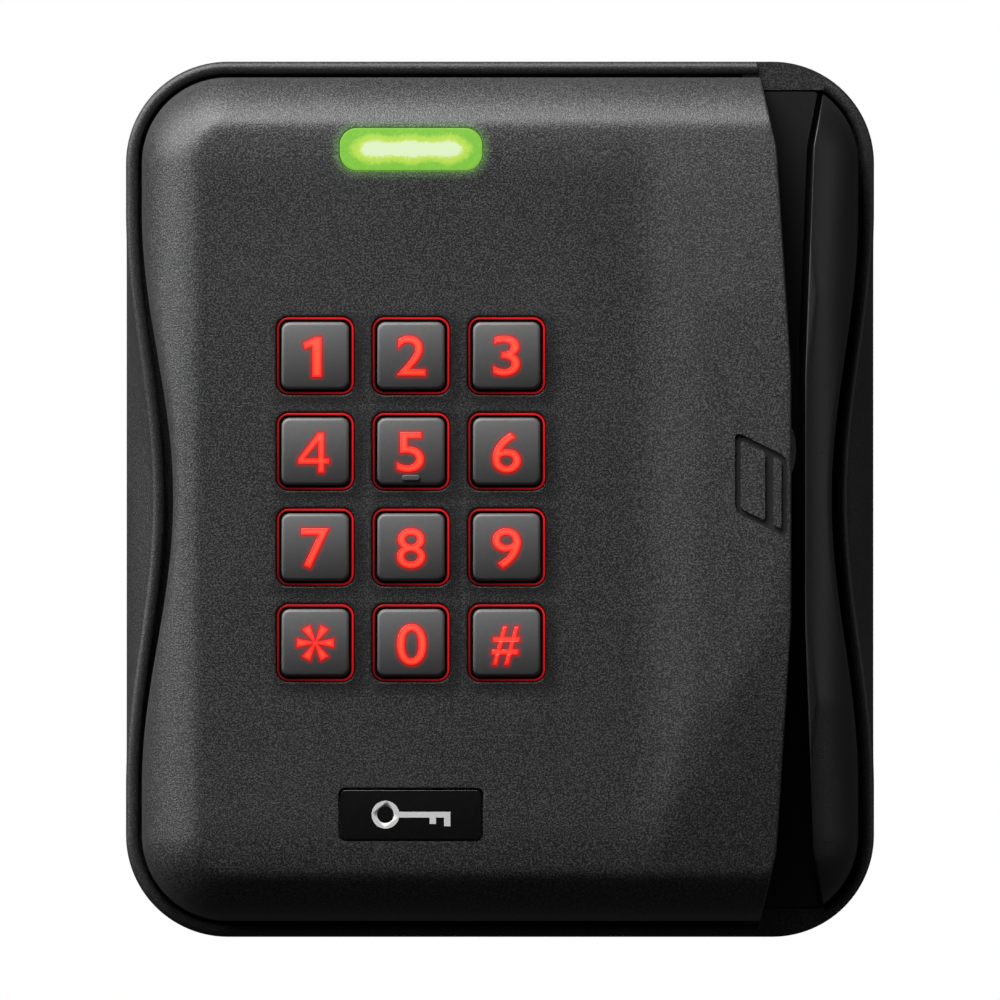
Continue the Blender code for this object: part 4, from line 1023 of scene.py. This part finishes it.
def step_between(tree, value, low, high):
    """0 below low, 1 above high, and an S curve between."""
    node = tree.nodes.new("ShaderNodeMapRange")
    node.interpolation_type = "SMOOTHSTEP"
    tree.links.new(value, node.inputs["Value"])
    node.inputs["From Min"].default_value = low
    node.inputs["From Max"].default_value = high
    return node.outputs["Result"]


def light_up(material, amount, low, high, strength=1.0):
    """Makes a material give off a colour between low and high, by an amount."""
    tree = material.node_tree
    shader = tree.nodes["Principled BSDF"]
    tree.links.new(blend_colours(tree, amount, low, high), shader.inputs["Emission Color"])
    shader.inputs["Emission Strength"].default_value = strength
    return material


key_grey = finish("satin_key_grey", (0.085, 0.085, 0.087), (0.105, 0.105, 0.107), (0.4, 0.46),
                  1500.0, 0.004 * MM, glint=0.3)
tree = key_grey.node_tree
glow = read_number(tree, "glow")
light_up(key_grey, glow, (0, 0, 0), (0.36, 0.006, 0.005))
tint(key_grey, math_node(tree, "MULTIPLY", glow, 0.85), (0.03, 0.002, 0.002))
legend_red = finish("legend_red", (0.2, 0.01, 0.01), (0.24, 0.012, 0.01), (0.5, 0.55), 1500.0, 0.002 * MM)
hot = step_between(legend_red.node_tree, read_number(legend_red.node_tree, "inside"), 0.05 * MM, 0.6 * MM)
light_up(legend_red, hot, (0.95, 0.012, 0.01), (0.84, 0.09, 0.037))
for name in LEGENDS:
    number, shape = legend(name)
    dress(number, legend_red)
    key = dress(cap(name, shape), key_grey)
    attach(key, f"key_{name}_cap")
    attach(number, f"key_{name}_cap")
    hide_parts(f"key_{name}")
print("keys:", len(LEGENDS), "caps and legends, each", round(KEY_SIZE / MM, 1), "mm wide")

# %% [markdown]
# The 5 has a short bar below its number, to find the middle of the keypad by touch.

# %% Bar on the 5
BAR_BELOW, BAR_PROUD = 4.55 * MM, 0.22 * MM
bar_x, bar_z = key_middle["5"][0], key_middle["5"][1] - BAR_BELOW
bar_top = key_top - float(crown(0.0, BAR_BELOW))
turn = np.linspace(0, np.pi / 2, 5)
bar_insets, bar_heights = 0.18 * MM * (1 - np.cos(turn)), BAR_PROUD - 0.12 * MM * (1 - np.sin(turn))
bar_rings = [(0.0, -0.3 * MM)] + list(zip(bar_insets, bar_heights))
bar = lofted("touch_bar", [
    place(*rounded(bar_x, bar_z, 3.1 * MM - 2 * i, 0.95 * MM - 2 * i, 0.47 * MM - i, 8), bar_top + h)
    for i, h in bar_rings])
bar_grey = finish("touch_bar_grey", (0.085, 0.085, 0.087), (0.1, 0.1, 0.102), (0.36, 0.42),
                  1500.0, 0.004 * MM)
dress(bar, bar_grey)
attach(bar, "key_5_cap")
print("bar on the 5 stands", round(BAR_PROUD / MM, 2), "mm proud")

# %% [markdown]
# ## The light frame
# A clear plate behind the cover carries a collar round each key. The collars' rims glow as thin red
# lines. That glow is made stronger up and to the right of each key and fades towards the lower left, which
# is painted light and shade: the brightness is stored at the points from the direction they lie in, seen
# from their key.

# %% Light frame
frame_low, frame_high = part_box("light_frame")
COLLAR_GAP, COLLAR_WALL = 0.48 * MM, 0.33 * MM
collar_top = -frame_low.y
frame_back = -frame_high.y
frame_front = frame_back + 1.6 * MM
plate = rounded(*middle(frame_low, frame_high),
                frame_high.x - frame_low.x, frame_high.z - frame_low.z, 3 * MM)
frame_piece = slab("light_frame_glow", plate, frame_back, frame_front)
COLLAR_IN = KEY_SIZE + 2 * COLLAR_GAP
COLLAR_OUT = COLLAR_IN + 2 * COLLAR_WALL
COLLAR_ROUND = 0.12 * MM
collars, wells = [], []
rim_rings = [(0.0, frame_back + FIT)]
rim_rings += [(inset, collar_top - drop) for inset, drop in quarter(COLLAR_ROUND, 5)]
for x, z in key_middle.values():
    collars.append(lofted("tool", [
        place(*rounded(x, z, COLLAR_OUT - 2 * i, COLLAR_OUT - 2 * i, 2.05 * MM - i, 12), h)
        for i, h in rim_rings]))
    wells.append(flared_tool(x, z, COLLAR_IN, COLLAR_IN, 1.65 * MM, frame_back - 1 * MM, collar_top,
                             COLLAR_ROUND))
carve(frame_piece, joined("collars", collars), "UNION")
carve(frame_piece, joined("wells", wells))
flat = read_points(frame_piece.data.vertices)[:, ::2]
centres = np.array(list(key_middle.values()))
gap = flat[:, None] - centres[None]
own = np.abs(gap).max(-1).argmin(1)
direction = gap[np.arange(len(flat)), own]
direction = direction / np.abs(direction).max(1, keepdims=True)
# painted light and shade: each rim point's glow is made strongest on the upper right of its key and weakest
# on the lower left
store(frame_piece.data, "lit", np.clip((direction.sum(1) + 0.7) / 1.5, 0, 1))
shade(frame_piece.data, 40)
red_frame = finish("red_light_frame", (0.09, 0.004, 0.004), (0.11, 0.005, 0.005), (0.25, 0.35),
                   1800.0, 0.003 * MM)
tree = red_frame.node_tree
depth = tree.nodes.new("ShaderNodeSeparateXYZ")
tree.links.new(tree.nodes.new("ShaderNodeTexCoord").outputs["Object"], depth.inputs[0])
at_rim = step_between(tree, depth.outputs["Y"], 0.5 * MM - collar_top, 0.1 * MM - collar_top)
# the rims' glow is the frame's own; its fade by side is painted light and shade
painted_side_light = between(tree, read_number(tree, "lit"), 0.12, 1.0)
rim_glow_and_painted_shade = math_node(tree, "MULTIPLY", painted_side_light, between(tree, at_rim, 0.06, 1.0))
light_up(red_frame, rim_glow_and_painted_shade, (0.0, 0.0, 0.0), (0.6, 0.01, 0.015))
dress(frame_piece, red_frame)
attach(frame_piece, "reader")
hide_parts("light_frame")
print("light frame:", len(frame_piece.data.polygons), "faces")

# %% [markdown]
# ## The status light
# A block of frosted plastic with three lamps behind it. Its face follows the front and has a soft round
# edge. How bright it is at a point depends on the distance to the line of lamps, stretched sideways, with
# a bulge at each lamp. A ramp turns that into white, yellow-green and green, and a little noise stands
# for the frosting's ripples.

# %% Status lens
LAMP_PITCH = 6.6 * MM
LENS_ROUND = 0.3 * MM


LENS_BACK = 30.5 * MM
LENS_PROUD = 0.18 * MM
rings = []
lens_sections = [(0.0, None)] + quarter(LENS_ROUND, 8)
lens_sections += [(inset, 0.0) for inset in np.linspace(LENS_ROUND, LENS_H / 2 - 0.05 * MM, 18)[1:]]
for inset, drop in lens_sections:
    corner = max(LENS_CORNER - inset, 0.04 * MM)
    x, z = even_outline(LENS_W - 2 * inset, LENS_H - 2 * inset, corner, 16, 240)
    x, z = x + LENS_X, z + LENS_Z
    height = np.full_like(x, LENS_BACK) if drop is None else front_height(x, z, -LENS_PROUD) - drop
    rings.append(place(x, z, height))
lens = lofted("status_lens_lit", rings, 50)
x, z = (read_points(lens.data.vertices)[:, ::2] - (LENS_X, LENS_Z)).T / MM
past_end = np.maximum(np.abs(x) - 6.4, 0) / 1.9
bulge = sum(np.exp(-((x - k * LAMP_PITCH / MM) / 1.9) ** 2) for k in (-1, 0, 1))
store(lens.data, "lamp", np.clip(1.42 - np.hypot(past_end, z) / (1.75 + 0.38 * bulge), 0, 1.2))
lens_green = finish("frosted_green_light", (0.02, 0.05, 0.01), (0.025, 0.06, 0.012), (0.6, 0.7),
                    1300.0, 0.01 * MM, specular=0.2)
tree = lens_green.node_tree
ripple = tree.nodes.new("ShaderNodeTexNoise")
ripple.inputs["Scale"].default_value = 1500.0
ripple.inputs["Detail"].default_value = 1.0
ripple.inputs["Distortion"].default_value = 1.2
tree.links.new(tree.nodes.new("ShaderNodeTexCoord").outputs["Object"], ripple.inputs["Vector"])
waves = math_node(tree, "MULTIPLY_ADD", ripple.outputs["Fac"], 0.5, -0.25)
level = math_node(tree, "ADD", read_number(tree, "lamp"), waves)
ramp = tree.nodes.new("ShaderNodeValToRGB")
stops = [(0.0, (0.2, 0.5, 0.045)), (0.12, (0.25, 0.56, 0.055)), (0.3, (0.42, 0.65, 0.075)),
         (0.6, (0.5, 0.7, 0.085)), (0.72, (0.6, 0.75, 0.18)), (0.86, (0.71, 0.83, 0.53)),
         (1.0, (0.72, 0.84, 0.55))]
while len(ramp.color_ramp.elements) < len(stops):
    ramp.color_ramp.elements.new(0.5)
for stop, (where, colour) in zip(ramp.color_ramp.elements, stops):
    stop.position, stop.color = where, (*colour, 1)
tree.links.new(level, ramp.inputs["Fac"])
tree.links.new(ramp.outputs["Color"], tree.nodes["Principled BSDF"].inputs["Emission Color"])
tree.nodes["Principled BSDF"].inputs["Emission Strength"].default_value = 1.0
dress(lens, lens_green)
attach(lens, "reader")
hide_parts("status_lens")
print("lens:", len(lens.data.polygons), "faces")

# %% [markdown]
# A faint green glow on the cover just round the window is painted light: the cover's material gives off light
# there, though it is no lamp.
# Its strength comes from the distance to the window's outline, worked out from the point's own place: how far
# it lies outside the rectangle of the corner centres, less the corner radius. It fades over a millimetre or
# so, speckled by the grain.

# %% Painted light round the window
tree = cover_black.node_tree


def vector_node(tree, operation, first, second=None, output="Vector"):
    """A Vector Math node whose inputs are sockets or vectors. Returns its output."""
    node = tree.nodes.new("ShaderNodeVectorMath")
    node.operation = operation
    for slot, value in enumerate((first, second)):
        if isinstance(value, tuple):
            node.inputs[slot].default_value = value
        elif value is not None:
            tree.links.new(value, node.inputs[slot])
    return node.outputs[output]


def distance_outside(tree, offset, half):
    """How far a place lies outside a box about the origin: the length of its absolute offset less the half
    sizes, where that is more than nothing."""
    past = vector_node(tree, "SUBTRACT", vector_node(tree, "ABSOLUTE", offset), half)
    past = vector_node(tree, "MAXIMUM", past, (0.0, 0.0, 0.0))
    return vector_node(tree, "LENGTH", past, output="Value")


SPILL_REACH = 2.0 * MM
where = tree.nodes.new("ShaderNodeTexCoord").outputs["Object"]
lens_middle = (LENS_X, -float(front_height(LENS_X, LENS_Z)), LENS_Z)
half = (LENS_W / 2 - LENS_CORNER, 0.0, LENS_H / 2 - LENS_CORNER)
distance = distance_outside(tree, vector_node(tree, "SUBTRACT", where, lens_middle), half)
painted_spill = step_between(tree, distance, LENS_CORNER + SPILL_REACH, LENS_CORNER - 0.3 * MM)
grain_here = use_group(tree, grain_group, Scale=COVER_GRAIN)
speckled = between(tree, grain_here.outputs["Glint"], 0.55, 1.0)
# painted light: the cover's own material glows green round the window, speckled by its grain
light_up(cover_black, math_node(tree, "MULTIPLY", painted_spill, speckled), (0, 0, 0), (0.085, 0.2, 0.045))
print("light spill reaches", round(SPILL_REACH / MM, 1), "mm from the window")

# %% [markdown]
# The caps stand proud, so the plastic between them lies in their shade. Large soft boxes give too little
# of it, and a mask adds the rest: the distance to the nearest of the twelve squares, moved a little down
# and to the right. The nearest square comes from rounding the point's place in units of the pitch.

# %% Shade round the keys
PITCH = key_middle["2"][0] - key_middle["1"][0]
SHADE_SHIFT, SHADE_REACH = 0.9 * MM, 3.6 * MM
SHADE_HALF = WINDOW / 2 - 1 * MM
first = (key_middle["1"][0] + SHADE_SHIFT, 0.0, key_middle["star"][1] - SHADE_SHIFT)
from_first = vector_node(tree, "SUBTRACT", where, first)
steps = vector_node(tree, "MULTIPLY", from_first, (1 / PITCH, 0.0, 1 / PITCH))
steps = vector_node(tree, "FLOOR", vector_node(tree, "ADD", steps, (0.5, 0.0, 0.5)))
steps = vector_node(tree, "MAXIMUM", steps, (0.0, 0.0, 0.0))
steps = vector_node(tree, "MINIMUM", steps, (2.0, 0.0, 3.0))
square = vector_node(tree, "MULTIPLY", steps, (PITCH, 0.0, PITCH))
offset = vector_node(tree, "MULTIPLY", vector_node(tree, "SUBTRACT", from_first, square), (1.0, 0.0, 1.0))
distance = distance_outside(tree, offset, (SHADE_HALF, 0.0, SHADE_HALF))
near_key = step_between(tree, distance, SHADE_REACH, 0.6 * MM)
tint(cover_black, math_node(tree, "MULTIPLY", near_key, 0.62), (0.004, 0.004, 0.004))
print("shade fades within", round(SHADE_REACH / MM, 1), "mm of a key")

# %% [markdown]
# ## The badge
# A gloss-black plate in the cover's pocket. Its mark is a plain key, drawn from a ring, a shaft and two
# teeth, and stands a hair proud like screen-printed ink.

# %% Badge and its mark
badge_top = -badge_low.y
badge_rings = [(0.0, -badge_high.y)] + [(inset, badge_top - drop) for inset, drop in quarter(0.2 * MM, 5)]
PLATE_W, PLATE_H = badge_high.x - badge_low.x, badge_high.z - badge_low.z
badge = lofted("badge_gloss", [
    place(*rounded(BADGE_X, BADGE_Z, PLATE_W - 2 * i, PLATE_H - 2 * i, 0.9 * MM - i, 8), h)
    for i, h in badge_rings])
badge_black = finish("gloss_badge_black", (0.004, 0.004, 0.0045), (0.006, 0.006, 0.0065), (0.2, 0.3),
                     900.0, 0.001 * MM)
dress(badge, badge_black)
INK = 0.02 * MM
ink_low, ink_high = badge_top - 0.05 * MM, badge_top + INK
bow_x = BADGE_X - 4.4 * MM
mark = slab("badge_mark", circle(bow_x, BADGE_Z, 2.4 * MM, 64), ink_low, ink_high)
carve(mark, slab("tool", circle(bow_x, BADGE_Z, 1.45 * MM, 64), ink_low - INK, ink_high + INK))
SHAFT = np.array([(-2.2, 0.5), (6.8, 0.5), (6.8, -2.0), (5.7, -2.0), (5.7, -0.5),
                  (4.3, -0.5), (4.3, -1.6), (3.2, -1.6), (3.2, -0.5), (-2.2, -0.5)]) * MM
carve(mark, slab("tool", (BADGE_X + SHAFT[:, 0], BADGE_Z + SHAFT[:, 1]), ink_low, ink_high), "UNION")
dress(mark, finish("white_ink", (0.72, 0.72, 0.71), (0.8, 0.8, 0.79), (0.5, 0.6), 1600.0, 0.002 * MM))
for piece in (badge, mark):
    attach(piece, "reader")
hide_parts("badge_plate")
print("badge", round(PLATE_W / MM, 1), "x", round(PLATE_H / MM, 1), "mm")

# %% [markdown]
# ## The pieces behind the cover
# These keep their solids from the design and only get finishes. Most can be seen from the back or through
# the slot: the zinc-plated wall plate and screws, the foam ring, the grommet, the track and the read
# head.

# %% Finishes of the other pieces
zinc = finish("zinc_plated_steel", (0.5, 0.51, 0.52), (0.66, 0.67, 0.66), (0.28, 0.46),
              320.0, 0.01 * MM, 1.0, 0.2)
ground = finish("ground_head_steel", (0.42, 0.42, 0.43), (0.55, 0.55, 0.56), (0.2, 0.32),
                2400.0, 0.003 * MM, 1.0, 0.4)
spring = finish("spring_steel", (0.3, 0.3, 0.31), (0.4, 0.4, 0.4), (0.25, 0.4), 900.0, 0.004 * MM, 1.0)
foam = finish("grey_foam", (0.03, 0.03, 0.033), (0.085, 0.085, 0.09), (0.9, 1.0), 1400.0, 0.25 * MM)
rubber = finish("black_rubber", (0.012, 0.012, 0.012), (0.028, 0.028, 0.028), (0.75, 0.9), 1100.0, 0.05 * MM)
silicone = finish("red_silicone", (0.38, 0.03, 0.025), (0.5, 0.05, 0.04), (0.5, 0.65), 1300.0, 0.02 * MM)
laminate = finish("green_laminate", (0.01, 0.08, 0.03), (0.02, 0.12, 0.05), (0.35, 0.5), 700.0, 0.006 * MM)
copper = finish("enamelled_copper", (0.5, 0.2, 0.09), (0.66, 0.3, 0.15), (0.28, 0.42), 2600.0, 0.03 * MM, 1.0)
component = finish("component_black", (0.012, 0.012, 0.013), (0.026, 0.026, 0.028), (0.45, 0.6),
                   1700.0, 0.015 * MM)
terminal = finish("terminal_green", (0.02, 0.2, 0.07), (0.03, 0.26, 0.1), (0.4, 0.55), 1500.0, 0.012 * MM)
led = finish("lamp_resin", (0.35, 0.7, 0.12), (0.42, 0.8, 0.18), (0.2, 0.3), 1200.0, 0.003 * MM)
FINISHES = [
    ("mounting_plate", zinc, "zinc_steel"), ("wall_gasket", foam, "foam"),
    ("card_track", track_black, "track_black"), ("mag_head", ground, "head_steel"),
    ("head_spring", spring, "spring_steel"), ("head_bracket", spring, "spring_steel"),
    ("keypad_mat", silicone, "red_silicone"), ("circuit_board", laminate, "board_green"),
    ("antenna_coil", copper, "copper"), ("cable_grommet", rubber, "black_rubber"),
    ("processor_chip", component, "component_black"), ("beeper", component, "component_black"),
    ("terminal_block", terminal, "terminal_green"), ("lock_screw", zinc, "screw_steel")]
FINISHES += [(f"{kind}_screw_{k}", zinc, "screw_steel") for kind in ("case", "board") for k in (1, 2, 3, 4)]
FINISHES += [(f"status_led_{k}", led, "led_green") for k in (1, 2, 3)]
for name, material, slot in FINISHES:
    dress(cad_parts[name], material)
print(len(FINISHES), "pieces kept from the design and dressed")

# %% [markdown]
# ## Stage
# A pale floor well below the reader and a white background. Two large soft boxes light it: one to the
# left and one above, both a little in front. A weak one fills the front and another the right bead, and
# the rest stays dark.

# %% Floor, background and lights
floor_mesh = bpy.data.meshes.new("floor")
floor_mesh.from_pydata([(-2, -2, -0.35), (2, -2, -0.35), (2, 2, -0.35), (-2, 2, -0.35)], [], [(0, 1, 2, 3)])
floor = bpy.data.objects.new("floor", floor_mesh)
bpy.context.scene.collection.objects.link(floor)
dress(floor, finish("pale_floor", (0.78, 0.78, 0.77), (0.84, 0.84, 0.83), (0.7, 0.8), 60.0, 0.05 * MM))
floor.visible_diffuse = False
floor.visible_glossy = False

world = bpy.data.worlds.new("studio")
bpy.context.scene.world = world
world.use_nodes = True
tree = world.node_tree
tree.nodes.clear()
seen, unseen = tree.nodes.new("ShaderNodeBackground"), tree.nodes.new("ShaderNodeBackground")
seen.inputs["Color"].default_value = (1, 1, 1, 1)
unseen.inputs["Color"].default_value = (0.035, 0.035, 0.035, 1)
path, pick = tree.nodes.new("ShaderNodeLightPath"), tree.nodes.new("ShaderNodeMixShader")
out = tree.nodes.new("ShaderNodeOutputWorld")
tree.links.new(path.outputs["Is Camera Ray"], pick.inputs["Fac"])
tree.links.new(unseen.outputs[0], pick.inputs[1])
tree.links.new(seen.outputs[0], pick.inputs[2])
tree.links.new(pick.outputs[0], out.inputs["Surface"])


def soft_box(name, spot, width, height, power, aim=(0, -0.03, 0)):
    """A large area light at a spot, aimed at a point."""
    lamp = bpy.data.lights.new(name, "AREA")
    lamp.shape = "RECTANGLE"
    lamp.size, lamp.size_y, lamp.energy = width, height, power
    box = bpy.data.objects.new(name, lamp)
    bpy.context.scene.collection.objects.link(box)
    box.location = spot
    box.rotation_euler = (Vector(aim) - Vector(spot)).to_track_quat("-Z", "Y").to_euler()
    return box


soft_box("left_box", (-0.8, -0.13, 0.42), 0.5, 0.6, 8.5)
soft_box("top_box", (-0.25, -0.36, 0.78), 0.6, 0.5, 14)
soft_box("front_fill", (-0.5, -1.3, 1.1), 0.8, 0.8, 1.0)
soft_box("right_box", (0.8, -0.12, 0.1), 0.3, 0.6, 0.6)
print("stage and lights set")

# %% [markdown]
# The camera looks straight at the front from seven metres, level with the middle, through a long lens, so
# the sides don't show and upright lines stay upright.

# %% Camera
DISTANCE = 7.0
FRAME_WIDTH = 0.173
camera = bpy.data.objects.new("camera", bpy.data.cameras.new("camera"))
bpy.context.scene.collection.objects.link(camera)
camera.location = (0, -DISTANCE, -0.13 * MM)
camera.rotation_euler = (np.pi / 2, 0, 0)
camera.data.lens = camera.data.sensor_width * (DISTANCE - 15 * MM) / FRAME_WIDTH
camera.data.clip_end = 50
bpy.context.scene.camera = camera
bpy.context.scene.view_settings.view_transform = "Standard"
print("lens", round(camera.data.lens), "mm at", DISTANCE, "m")
